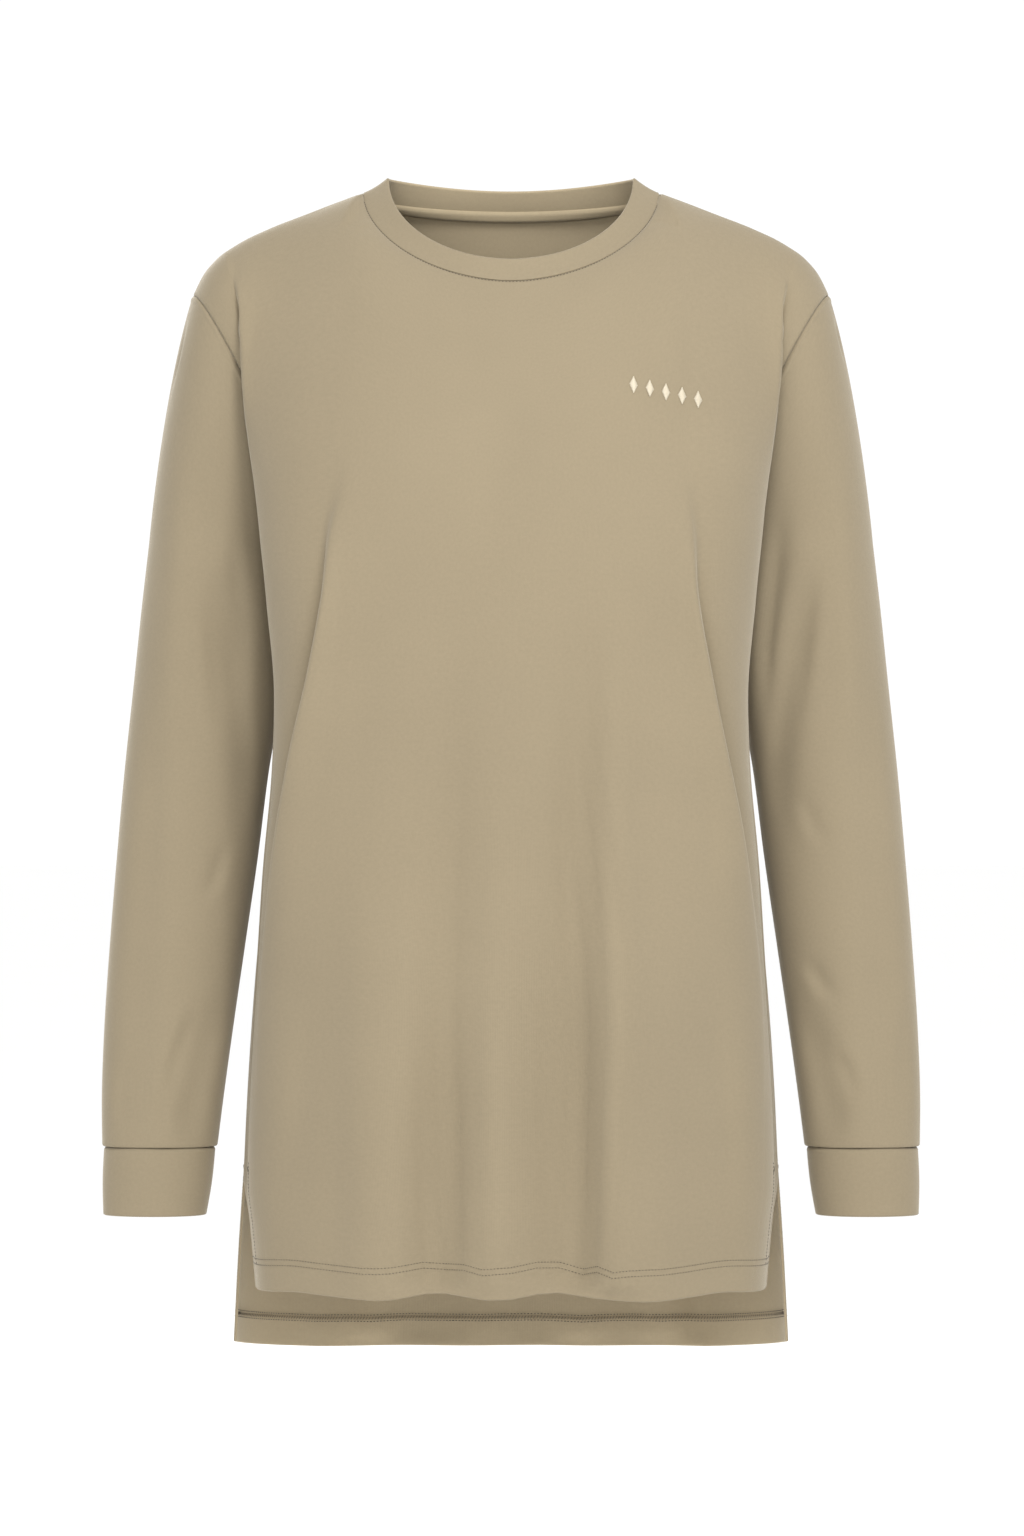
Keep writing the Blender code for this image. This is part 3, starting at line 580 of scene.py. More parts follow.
def back_section(column, drop):
    """Points of the back's plain half section at a drop."""
    rows, columns = ((BACK_EDGE_ROWS, "centre_y edge_x edge_y") if drop > SLIT_DROP
                     else (TORSO_ROWS, "back_y seam_x seam_y"))
    centre_y, edge_x, edge_y = read_row(rows, columns, drop)
    angle = column_angle(column, SEAM_COLUMN)
    across = np.sin(angle) ** BACK_SQUARENESS
    backward = np.clip(np.cos(angle), 0, 1) ** BACK_SQUARENESS
    return points_of(edge_x * across, edge_y + (centre_y - edge_y) * backward, -drop)


def yoke_section(column, t, back):
    """Points of a panel between its neckline or shoulder seam (t 0) and the chest (t 1)."""
    at_neck = column < NECK_COLUMN
    angle = np.pi / 2 * np.minimum(column, NECK_COLUMN) / NECK_COLUMN
    share = np.where(
        column <= FOLD_COLUMN,
        FOLD_AT_SHOULDER * (column - NECK_COLUMN) / (FOLD_COLUMN - NECK_COLUMN),
        FOLD_AT_SHOULDER + (1 - FOLD_AT_SHOULDER) * (column - FOLD_COLUMN)
        / (SEAM_COLUMN - FOLD_COLUMN))
    share = np.clip(share, 0, 1)
    top = np.where(at_neck[..., None], neck_point(angle, back), shoulder_point(share))
    turned = np.where(at_neck, np.sin(angle) ** 2, 1.0)[..., None]
    spread = np.where(at_neck, NECK_SPREAD * np.sin(angle),
                      NECK_SPREAD * (1 - share) ** NECK_SPREAD_FADE)
    strength = smooth_value(SHOULDER_ROWS, "back_lead" if back else "front_lead", share)
    ends = ease((column - NECK_LEAD_FROM) / (NECK_COLUMN - NECK_LEAD_FROM))
    strength = np.where(at_neck, NECK_END_LEAD + (strength - NECK_END_LEAD) * ends, strength)
    forward = 1.0 if back else -1.0
    lead_y, lead_drop = BACK_NECK_LEAD if back else FRONT_NECK_LEAD
    neck_lead = np.array((0.0, forward * lead_y, -lead_drop))
    shoulder_lead = points_of(0.0, forward * strength, 0.0)
    lead = neck_lead * (1 - turned) + shoulder_lead * turned
    lead[..., 0] = spread
    section = back_section if back else front_section
    end_lead = np.array((0.0, 0.0, -CHEST_LEAD_DROP))
    chest = section(column, CHEST_DROP)
    onward = (section(column, CHEST_DROP + CHEST_STEP) - chest) * CHEST_LEAD_DROP / CHEST_STEP
    follow = 1 - ease((column - NECK_COLUMN) / (FOLD_COLUMN - NECK_COLUMN))
    points = hermite(top, lead, chest, end_lead + (onward - end_lead) * follow[..., None], t)
    first, power = ((NECK_COLUMN, BACK_ARMHOLE_PULL) if back
                    else ((NECK_COLUMN + FOLD_COLUMN) / 2, FRONT_ARMHOLE_PULL))
    seam = section(np.array([SEAM_COLUMN]), CHEST_DROP)[0]
    plain = hermite(SHOULDER_TIP, shoulder_lead, seam, end_lead, t)
    turn = 2 * np.pi - np.pi * t if back else np.pi * t
    pull = ease((column - first) / (SEAM_COLUMN - first)) ** power
    return points + (armhole_point(turn) - plain) * pull[..., None]


def fold_height(folds, x, drop):
    """How far the long folds lift points out of a plain section."""
    height = np.zeros(np.broadcast(x, drop).shape)
    for fold in folds:
        along = (drop - fold.top_drop) / (fold.end_drop - fold.top_drop)
        middle = fold.top_x + (fold.end_x - fold.top_x) * np.clip(along, 0, 1)
        fade = ease(along / FOLD_ONSET) * (1 - ease((along - 1) / FOLD_ONSET))
        height += fold.rise * fade * np.exp(-((x - middle) / fold.half_width) ** 2)
    return height


def crease_height(creases, across, drop):
    """How far the listed creases press points in (negative) or lift them."""
    height = np.zeros(np.broadcast(across, drop).shape)
    for crease in creases:
        near = np.full(height.shape, 1e9)
        side = np.zeros(height.shape)
        share = np.zeros(height.shape)
        steps = [math.dist(a, b) for a, b in zip(crease.path, crease.path[1:])]
        done = 0.0
        for (a, b), step in zip(zip(crease.path, crease.path[1:]), steps):
            along = np.array((b[0] - a[0], b[1] - a[1]))
            t = np.clip(((across - a[0]) * along[0] + (drop - a[1]) * along[1]) / step**2, 0, 1)
            off_x = across - a[0] - along[0] * t
            off_drop = drop - a[1] - along[1] * t
            gap = np.hypot(off_x, off_drop)
            closer = gap < near
            near = np.where(closer, gap, near)
            side = np.where(closer, np.sign(off_x * along[1] - off_drop * along[0]), side)
            share = np.where(closer, (done + t * step) / sum(steps), share)
            done += step
        q = near / crease.half_width
        fade = ease(share / CREASE_FADE_IN) * ease((1 - share) / CREASE_FADE_OUT)
        profile = -np.exp(-q**2) + crease.ridge * side * q * np.exp(-q**2 / 2)
        height += crease.depth * fade * profile
    return height


def crowded(count, first, last):
    """count + 1 shares from 0 to 1 that crowd towards either end by the given amounts."""
    w = np.linspace(0.0, 1.0, count + 1)
    rate = 1 - first * (1 + np.cos(np.pi * w)) / 2 - last * (1 - np.cos(np.pi * w)) / 2
    steps = (rate[1:] + rate[:-1]) / 2
    return np.concatenate(([0.0], np.cumsum(steps))) / steps.sum()


def half_columns(name, level):
    """Panel columns of the left or right half at a level: from the centre, crowding at the
    two overlapping folds and at the side seam."""
    lip, = read_row(LIP_ROWS, name + "_column", level)
    fold, = read_row(ARM_FOLD_ROWS, "column", level)
    inner = lip * crowded(INNER_CELLS, 0.0, TOWARDS_FOLD)
    outer = lip + (fold - lip) * crowded(OUTER_CELLS, BEYOND_FOLD, TOWARDS_FOLD)
    side = fold + (SEAM_COLUMN - fold) * crowded(SIDE_CELLS, BEYOND_FOLD, TOWARDS_FOLD)
    return np.concatenate((inner, outer[1:], side[1:]))


def run_lengths(points, axis):
    """Length from the first point along an axis of the grid."""
    steps = np.linalg.norm(np.diff(points, axis=axis), axis=-1)
    start = np.zeros_like(np.take(steps, [0], axis=axis))
    return np.concatenate((start, np.cumsum(steps, axis=axis)), axis=axis)


def grid_normals(points, out, wrap):
    """Unit outward directions of a grid of points. Out is 1 or -1."""
    if wrap:
        across = np.roll(points, -1, axis=1) - np.roll(points, 1, axis=1)
    else:
        across = np.gradient(points, axis=1)
    down = np.gradient(points, axis=0)
    normals = out * np.cross(across, down)
    return normals / np.maximum(np.linalg.norm(normals, axis=-1, keepdims=True), 1e-12)


def lip_profile(distance, reach_in, reach_out, softness, trough):
    """Height of an overlapping fold's lip, 1 on its high side (distance under 0) and
    minus the trough on its low side, both fading out."""
    step = np.where(distance < 0, 1.0, trough) * -np.tanh(distance / softness)
    reach = np.where(distance < 0, reach_in, reach_out)
    return step * np.exp(-np.abs(distance) / reach)


def panel_surface(back):
    """Outer points of the front or back, as a grid from the shoulders down to the hem."""
    hem = BACK_HEM_DROP if back else FRONT_HEM_DROP
    body_rows = BACK_BODY_ROWS if back else FRONT_BODY_ROWS
    section = back_section if back else front_section
    folds = BACK_FOLDS if back else FRONT_FOLDS
    follows = BACK_HEM_FOLLOWS if back else FRONT_HEM_FOLLOWS
    out = 1.0 if back else -1.0
    yoke = crowded(YOKE_ROWS, TOWARDS_SHOULDER, 0.0)[:-1]
    body = np.linspace(CHEST_DROP, hem - HEM_STEPS[0], body_rows + 1)[:-1]
    levels = np.concatenate((yoke * CHEST_DROP, body, hem - np.array(HEM_STEPS)))
    rows = []
    for i, level in enumerate(levels):
        halves = []
        for name, side in (("right", -1.0), ("left", 1.0)):
            columns = half_columns(name, level)
            half = (yoke_section(columns, yoke[i], back) if i < len(yoke)
                    else section(columns, level))
            half[:, 0] *= side
            if i >= len(yoke):
                plain = 1 - ease((columns / SEAM_COLUMN - PLAIN_FROM) / (1 - PLAIN_FROM))
                height = fold_height(folds, half[:, 0], level) * plain
                half[:, 1] += out * height
                if level > SLIT_DROP:
                    share = (level - SLIT_DROP) / (hem - SLIT_DROP)
                    dip = BACK_HEM_DIP * np.cos(np.pi / 2 * columns / SEAM_COLUMN) if back else 0.0
                    half[:, 2] -= share * (dip + follows * height)
            halves.append(half)
        right, left = halves
        rows.append(np.concatenate((right[::-1], left[1:])))
    return eased_corners(np.array(rows)), levels


def eased_corners(points):
    """Lets the corners where neckline and shoulder meet fade out below the seam."""
    from_top = run_lengths(points, 0)
    near = np.exp(-((np.abs(points[..., 0]) - CORNER_ACROSS) / CORNER_WIDTH) ** 2)
    weight = (near * ease(from_top / CORNER_START) * (1 - ease(from_top / CORNER_END)))[..., None]
    eased = points.copy()
    for _ in range(CORNER_PASSES):
        mean = (eased[:, 2:] + eased[:, :-2]) / 2
        eased[:, 1:-1] += (mean - eased[:, 1:-1]) * weight[:, 1:-1] / 2
    moved = eased - points
    length = np.maximum(np.linalg.norm(moved, axis=-1), 1e-9)
    return points + moved * np.minimum(1, CORNER_GIVE * from_top / length)[..., None]


def dress_panel(points, levels, back, depth):
    """Lays the creases and the overlapping folds into a panel."""
    out = 1.0 if back else -1.0
    creases = BACK_CREASES if back else FRONT_CREASES
    normals = grid_normals(points, out, False)
    level = np.broadcast_to(levels[:, None], points.shape[:2])
    height = crease_height(creases, points[..., 0], -points[..., 2])
    if not back:
        across = run_lengths(points, 1)
        for name, side in (("right", -1), ("left", 1)):
            lip_at = CENTRE + side * INNER_CELLS
            fold_at = CENTRE + side * (INNER_CELLS + OUTER_CELLS)
            half = np.zeros(points.shape[:2])
            half[:, slice(0, CENTRE) if side < 0 else slice(CENTRE, None)] = 1.0
            distance = side * (across - across[:, [lip_at]])
            softness = smooth_value(LIP_ROWS, "softness", level)
            lip = smooth_value(LIP_ROWS, name + "_lip", level)
            height += half * lip * lip_profile(distance, LIP_REACH_IN, LIP_REACH_OUT,
                                               softness, LIP_TROUGH)
            distance = side * (across - across[:, [fold_at]])
            lip = smooth_value(ARM_FOLD_ROWS, "lip", level)
            height += half * lip * lip_profile(distance, ARM_FOLD_REACH_IN, ARM_FOLD_REACH_OUT,
                                               ARM_FOLD_SOFTNESS, ARM_FOLD_TROUGH)
            shift = smooth_value(ARM_FOLD_ROWS, "shift", level)
            to_seam = np.minimum(across, across[:, -1:] - across)
            reach = np.where(distance < 0, ARM_SHIFT_REACH_IN, ARM_SHIFT_REACH_OUT)
            points[..., 0] += (side * half * shift * ease(to_seam / PANEL_EDGE_FADE)
                               * np.exp(-(distance / reach) ** 2))
    rows = run_lengths(points, 0)
    edge = np.minimum(rows, rows[-1] - rows)
    return points + normals * (height * depth * ease(edge / PANEL_EDGE_FADE))[..., None]


def ring_section(rows, drop, turn, side):
    """Points of a level oval of a sleeve or cuff; turn 0 is its outer side, a quarter its front."""
    outer, inner, depth, middle_y = read_row(rows, "outer_x inner_x half_depth centre_y", drop)
    return points_of(side * ((outer + inner) / 2 + (outer - inner) / 2 * np.cos(turn)),
                     middle_y - depth * np.sin(turn), -drop)


def full_turn(cells):
    """Angles once round, without the first again at the end."""
    return np.linspace(0.0, 2 * np.pi, cells + 1)[:-1]


def sleeve_surface(side, depth):
    """Outer points of a sleeve, ring by ring from the armhole to the cuff seam."""
    turn = full_turn(SLEEVE_CELLS)
    first = SLEEVE_ROWS[0].drop
    last = SLEEVE_ROWS[-1].drop
    high = (1 + np.cos(turn)) / 2
    lead = points_of(CAP_LEAD_OUT * high + CAP_LEAD_SIDES * np.sin(turn) ** 2,
                     -CAP_LEAD_FORWARD * np.sin(turn), -CAP_LEAD_DROP - CAP_LEAD_TOP_DROP * high)
    end_lead = CAP_END_LEAD - points_of(0.0, 0.0, CAP_END_TOP_DROP * high)
    end = ring_section(SLEEVE_ROWS, first, turn, 1.0)
    flip = np.array((side, 1.0, 1.0))
    rows = [hermite(armhole_point(turn), lead, end, end_lead, t) * flip
            for t in crowded(CAP_CELLS, TOWARDS_ARMHOLE, 0.0)[:-1]]
    body = np.linspace(first, last - SLEEVE_END_STEPS[0], SLEEVE_BODY_ROWS + 1)[:-1]
    for drop in np.concatenate((body, last - np.array(SLEEVE_END_STEPS))):
        rows.append(ring_section(SLEEVE_ROWS, drop, turn, side))
    points = np.array(rows)
    height = fold_height(SLEEVE_FOLDS, side * points[..., 0], -points[..., 2])
    seam = run_lengths(points, 0)
    points[..., 1] -= height * np.clip(np.sin(turn), 0, 1) * ease(seam / SLEEVE_FOLD_FADE)
    normals = grid_normals(points, side, True)
    creases = LEFT_SLEEVE_CREASES if side > 0 else RIGHT_SLEEVE_CREASES
    girth = run_lengths(np.concatenate((points, points[:, :1]), axis=1), 1)
    around = girth[:, :-1]
    around = np.where(around > girth[:, -1:] / 2, around - girth[:, -1:], around)
    height = crease_height(creases, around, -points[..., 2]) * depth
    ends = np.minimum(seam, seam[-1] - seam)
    ridge = SEAM_RIDGE * (np.exp(-((seam - SEAM_RIDGE_PLACE) / SEAM_RIDGE_WIDTH) ** 2)
                          - SEAM_GROOVE * np.exp(-(seam / SEAM_GROOVE_WIDTH) ** 2))
    return points + normals * (height * ease(ends / SLEEVE_EDGE_FADE) + ridge)[..., None]


def read_seam(name, columns, edge, near, place):
    """A panel's seam at fractional places: its points, the directions from there into the
    panel, and the normals. The seam is one row of the grid, or one of its columns."""
    panel = _surfaces[name]
    points, normals = panel.points, grid_normals(*panel)
    if columns:
        points, normals = points.swapaxes(0, 1), normals.swapaxes(0, 1)
    into = points[near] - points[edge]
    into /= np.linalg.norm(into, axis=-1, keepdims=True)
    return [np.stack([np.interp(place, np.arange(len(line)), line[:, k]) for k in range(3)],
                     axis=-1) for line in (points[edge], into, normals[edge])]


def tucked_rows(columns, edge, near, place, front):
    """Rows of seam allowance that pass from a seam under the front and the back, the
    innermost first."""
    sides = [read_seam(name, columns, edge, near, place) for name in ("front", "back")]
    seam, into, normals = (np.where(front[:, None], a, b) for a, b in zip(*sides))
    return np.array([seam + into * reach - normals * depth for reach, depth in TUCK_STEPS])


def armhole_tuck(side):
    """Seam allowance of a sleeve, under the front's and the back's armhole edges."""
    turn = full_turn(SLEEVE_CELLS)
    place = np.where(turn <= np.pi, turn, 2 * np.pi - turn) / np.pi
    place = np.interp(place, crowded(YOKE_ROWS, TOWARDS_SHOULDER, 0.0), np.arange(YOKE_ROWS + 1))
    edge, near = (-1, -4) if side > 0 else (0, 3)
    return tucked_rows(True, edge, near, place, turn <= np.pi)


def band_angles():
    """Angles round the neckline from a centre to the shoulders, the side of each, and
    whether it lies on the back."""
    turn = np.pi / 2 * np.arange(BAND_CELLS) / (BAND_CELLS // 4)
    angle = np.arcsin(np.clip(np.abs(np.sin(turn)), 0, 1))
    return angle, np.where(np.sin(turn) >= 0, 1.0, -1.0), np.cos(turn) < -1e-9


def neckline_tuck():
    """Seam allowance of the neckband, under the neckline edges of the front and back."""
    angle, side, back = band_angles()
    place = np.zeros(BAND_CELLS)
    for name, half in (("left", 1), ("right", -1)):
        known = half_columns(name, 0.0)
        index = np.interp(NECK_COLUMN * angle / (np.pi / 2), known, np.arange(len(known)))
        place = np.where(side == half, CENTRE + half * index, place)
    return tucked_rows(False, 0, 3, place, ~back)[::-1]


def cuff_surface(side):
    """Outer points of a cuff, from inside the sleeve's end down to its folded edge."""
    turn = full_turn(CUFF_CELLS)
    first, last = CUFF_ROWS[0].drop, CUFF_ROWS[-1].drop
    rows = []
    for share in crowded(CUFF_RINGS, *CUFF_CROWDING):
        row = ring_section(CUFF_ROWS, first + (last - first) * share, turn, side)
        puff = CUFF_PUFF * np.sin(np.pi * share) + CUFF_WAVE * np.sin(3 * turn + 1) * share
        row[:, :2] += (row[:, :2] - row[:, :2].mean(axis=0)) * (puff / CUFF_RADIUS)[:, None]
        rows.append(row)
    return np.array(rows)


def neckband_surface():
    """Outer points of the neckband, from its folded top edge down to the neckline seam."""
    angle, side, back = band_angles()
    seam = np.where(back[:, None], neck_point(angle, True), neck_point(angle, False))
    seam[:, 0] *= side
    level = np.cos(angle)
    top = points_of(side * BAND_HALF_WIDTH * np.sin(angle),
                    BAND_SHOULDER_Y + np.where(back, BAND_BACK_REACH, -BAND_FRONT_REACH) * level,
                    BAND_SHOULDER_RISE - np.where(back, BAND_BACK_DROP * level**BAND_BACK_DIP,
                                                  BAND_FRONT_DROP * level))
    across = seam - top
    rows = [hermite(top, across - BAND_BULGE, seam, across + BAND_BULGE, t)
            for t in crowded(BAND_ROWS, TOWARDS_BAND_EDGES, TOWARDS_BAND_EDGES)]
    return np.array(rows)


def closed_ring(grid, wrap):
    """A grid that goes all round has its first column again at the end."""
    return np.concatenate((grid, grid[:, :1]), axis=1) if wrap else grid


def rim_faces(line, wrap, turned, count):
    """Faces that join the two skins along a line of point numbers."""
    one = line if wrap else line[:-1]
    two = np.roll(line, -1) if wrap else line[1:]
    faces = np.stack((two, one, one + count, two + count), axis=-1)
    return faces[:, ::-1] if turned else faces


def shell_faces(index, wrap):
    """Faces of both skins and of the rims of a shell over a grid of point numbers."""
    count = index.size
    ring = closed_ring(index, wrap)
    outside = np.stack((ring[:-1, :-1], ring[:-1, 1:], ring[1:, 1:], ring[1:, :-1]), axis=-1)
    outside = outside.reshape(-1, 4)
    faces = [outside, outside[:, ::-1] + count, rim_faces(index[0], wrap, False, count),
             rim_faces(index[-1], wrap, True, count)]
    if not wrap:
        faces += [rim_faces(index[:, 0], False, True, count),
                  rim_faces(index[:, -1], False, False, count)]
    return np.concatenate(faces)


def place_piece(name, mesh, material=None):
    """Puts a finished mesh among the visible pieces."""
    if material:
        mesh.materials.append(material)
    holder = bpy.data.collections.get("training_top_cloth")
    if holder is None:
        holder = bpy.data.collections.new("training_top_cloth")
        bpy.context.scene.collection.children.link(holder)
    piece = bpy.data.objects.new(name, mesh)
    holder.objects.link(piece)
    return piece


def shell(name, surface, thickness, roll, material):
    """A closed thin wall of cloth with rounded rims. Roll gives, for a sewn rim, how far
    the cloth turns in towards it, over what width and down to what level."""
    outer, out, wrap = surface
    normals = grid_normals(*surface)
    down = run_lengths(outer, 0)
    across = run_lengths(closed_ring(outer, wrap), 1)
    rims = {"top": down, "bottom": down[-1] - down}
    if not wrap:
        rims.update(first=across, last=across[:, -1:] - across)
    sunk = np.zeros(outer.shape[:2])
    for edge, (amount, reach, lowest) in roll.items():
        depth = amount * np.clip(1 - rims[edge] / reach, 0, 1) ** 2
        sunk = np.maximum(sunk, depth * (-outer[..., 2] <= lowest))
    half = np.broadcast_to(thickness, outer.shape[:2]) / 2
    rim = np.clip(np.minimum.reduce(list(rims.values())) / half, 0, 1)
    bulge = np.sqrt(np.clip(1 - (1 - rim) ** 2, RIM_LEAST, 1))
    middle = outer - normals * (half + sunk)[..., None]
    swell = normals * (half * bulge)[..., None]
    count = half.size
    faces = shell_faces(np.arange(count).reshape(half.shape), wrap)
    if out < 0:
        faces = faces[:, ::-1]
    mesh = bpy.data.meshes.new(name)
    mesh.vertices.add(2 * count)
    mesh.vertices.foreach_set("co", np.concatenate((middle + swell, middle - swell)).ravel())
    mesh.loops.add(faces.size)
    mesh.loops.foreach_set("vertex_index", faces.ravel())
    mesh.polygons.add(len(faces))
    mesh.polygons.foreach_set("loop_start", np.arange(0, faces.size, 4))
    mesh.update(calc_edges=True)
    mesh.validate()
    knit_map(mesh, across, down, wrap)
    # Marks the inner skin, which the knit material paints paler: painted light for the lit inside
    # of the garment.
    inner = mesh.attributes.new("inner", "FLOAT", "POINT")
    inner.data.foreach_set("value", np.repeat((0.0, 1.0), count))
    mesh.shade_smooth()
    return place_piece(name, mesh, material)


def knit_map(mesh, across, down, wrap):
    """Lays the knit over a piece, in metres: wales run along the columns of its grid."""
    height, width = down.shape
    along = across[height // 2]
    corner = np.zeros(len(mesh.loops), dtype=np.int32)
    mesh.loops.foreach_get("vertex_index", corner)
    corner %= down.size
    column = corner % width
    places = np.stack((along[column], down.mean(axis=1)[corner // width]), axis=-1)
    if wrap:
        quads = column.reshape(-1, 4)
        crossing = (quads.max(axis=1) == width - 1) & (quads.min(axis=1) == 0)
        moved = crossing[:, None] & (quads == 0)
        places[moved.ravel(), 0] += along[-1]
    mesh.uv_layers.new(name="knit").data.foreach_set("uv", places.ravel())


def fill(made, values):
    """Sets the values of a node's inputs."""
    for socket, value in values.items():
        made.inputs[socket].default_value = value


def node(tree, kind, values=None, **settings):
    """Adds a node to a tree, with its settings and the values of its inputs."""
    made = tree.nodes.new(kind)
    for name, value in settings.items():
        setattr(made, name, value)
    fill(made, values or {})
    return made


def link_nodes(tree, *links):
    """Joins an output of one node to an input of another, link by link."""
    for source, output, target, socket in links:
        tree.links.new(source.outputs[output], target.inputs[socket])


def blank_material(name, values):
    """A new material, its tree, and its shader with values for the shader's inputs."""
    material = bpy.data.materials.new(name)
    material.use_nodes = True
    shader = material.node_tree.nodes["Principled BSDF"]
    fill(shader, values)
    return material, material.node_tree, shader


def shade(colour, amount):
    """A colour made lighter or darker."""
    return (*[min(channel * amount, 1.0) for channel in colour], 1.0)


def knit_material(name, look, colour):
    """Smooth interlock knit: fine wales and courses, a soft mottle and a felted sheen; its inner
    skin is painted paler, as painted light for the light that reaches the inside of the garment.
    """
    if name in bpy.data.materials:
        return bpy.data.materials[name]
    material, tree, shader = blank_material(name, {
        "Roughness": look.roughness, "Specular IOR Level": 0.25, "Sheen Weight": look.sheen,
        "Sheen Roughness": 0.45, "Sheen Tint": (1.0, 0.94, 0.82, 1.0)})
    place = node(tree, "ShaderNodeUVMap", uv_map="knit")
    wales = node(tree, "ShaderNodeTexWave", {
        "Scale": math.pi / (10 * look.wale), "Distortion": 1.2, "Detail Scale": 0.6},
        bands_direction="X")
    courses = node(tree, "ShaderNodeTexWave", {
        "Scale": math.pi / (10 * look.wale * COURSE_SHARE), "Distortion": 1.0},
        bands_direction="Y")
    loops = node(tree, "ShaderNodeMath", operation="MULTIPLY")
    fuzz = node(tree, "ShaderNodeTexNoise", {"Scale": 950.0, "Detail": 3.0})
    height = node(tree, "ShaderNodeMath", operation="ADD")
    bump = node(tree, "ShaderNodeBump", {"Strength": look.bump, "Distance": 0.0003})
    mottle = node(tree, "ShaderNodeTexNoise", {"Scale": 380.0, "Detail": 4.0, "Roughness": 0.7})
    cloud = node(tree, "ShaderNodeTexNoise", {"Scale": 9.0, "Detail": 2.0})
    grain = node(tree, "ShaderNodeMix", {
        "A": shade(colour, 1 - look.mottle), "B": shade(colour, 1 + look.mottle)},
        data_type="RGBA")
    tone = node(tree, "ShaderNodeMix", {"Factor": 1.0}, data_type="RGBA",
                blend_type="MULTIPLY", clamp_result=False)
    soft = node(tree, "ShaderNodeMapRange", {
        "From Min": 0.3, "From Max": 0.7, "To Min": 0.975, "To Max": 1.02})
    sharpen = node(tree, "ShaderNodeMapRange", {"From Min": 0.3, "From Max": 0.7})
    # The inner skin is painted paler by the given factor: painted light for light that reaches the
    # inside of the garment; the soft cloud is tone that differs at random.
    inner = node(tree, "ShaderNodeAttribute", attribute_name="inner")
    reverse = node(tree, "ShaderNodeMapRange", {"To Min": 1.0, "To Max": look.reverse})
    paler = node(tree, "ShaderNodeMath", operation="MULTIPLY")
    pale = node(tree, "ShaderNodeCombineColor")
    link_nodes(
        tree,
        *[(place, "UV", target, "Vector") for target in (wales, courses, fuzz, mottle, cloud)],
        (wales, "Fac", loops, 0),
        (courses, "Fac", loops, 1),
        (loops, "Value", height, 0),
        (fuzz, "Fac", height, 1),
        (height, "Value", bump, "Height"),
        (bump, "Normal", shader, "Normal"),
        (mottle, "Fac", sharpen, "Value"),
        (sharpen, "Result", grain, "Factor"),
        (cloud, "Fac", soft, "Value"),
        (inner, "Fac", reverse, "Value"),
        (soft, "Result", paler, 0),
        (reverse, "Result", paler, 1),
        *[(paler, "Value", pale, channel) for channel in ("Red", "Green", "Blue")],
        (grain, "Result", tone, "A"),
        (pale, "Color", tone, "B"),
        (tone, "Result", shader, "Base Color"))
    return material


def wavering_material(name, values, scale, dark, light):
    """A material whose colour wavers between two, over the piece's own coordinates."""
    material, tree, shader = blank_material(name, values)
    place = node(tree, "ShaderNodeTexCoord")
    grain = node(tree, "ShaderNodeTexNoise", {"Scale": scale})
    blend = node(tree, "ShaderNodeMix", {"A": dark, "B": light}, data_type="RGBA")
    link_nodes(tree, (place, "Object", grain, "Vector"), (grain, "Fac", blend, "Factor"),
               (blend, "Result", shader, "Base Color"))
    return material


def thread_material(name, colour, roughness):
    """Fine twisted thread with a little lustre."""
    return bpy.data.materials.get(name) or wavering_material(
        name, {"Roughness": roughness, "Sheen Weight": 0.2}, 1400.0, shade(colour, 0.86),
        shade(colour, 1.12))


def floor_material():
    """Pale matt floor."""
    return wavering_material("pale_floor", {"Roughness": 0.95, "Specular IOR Level": 0.1}, 3.0,
                             (0.955, 0.955, 0.95, 1.0), (0.97, 0.97, 0.965, 1.0))


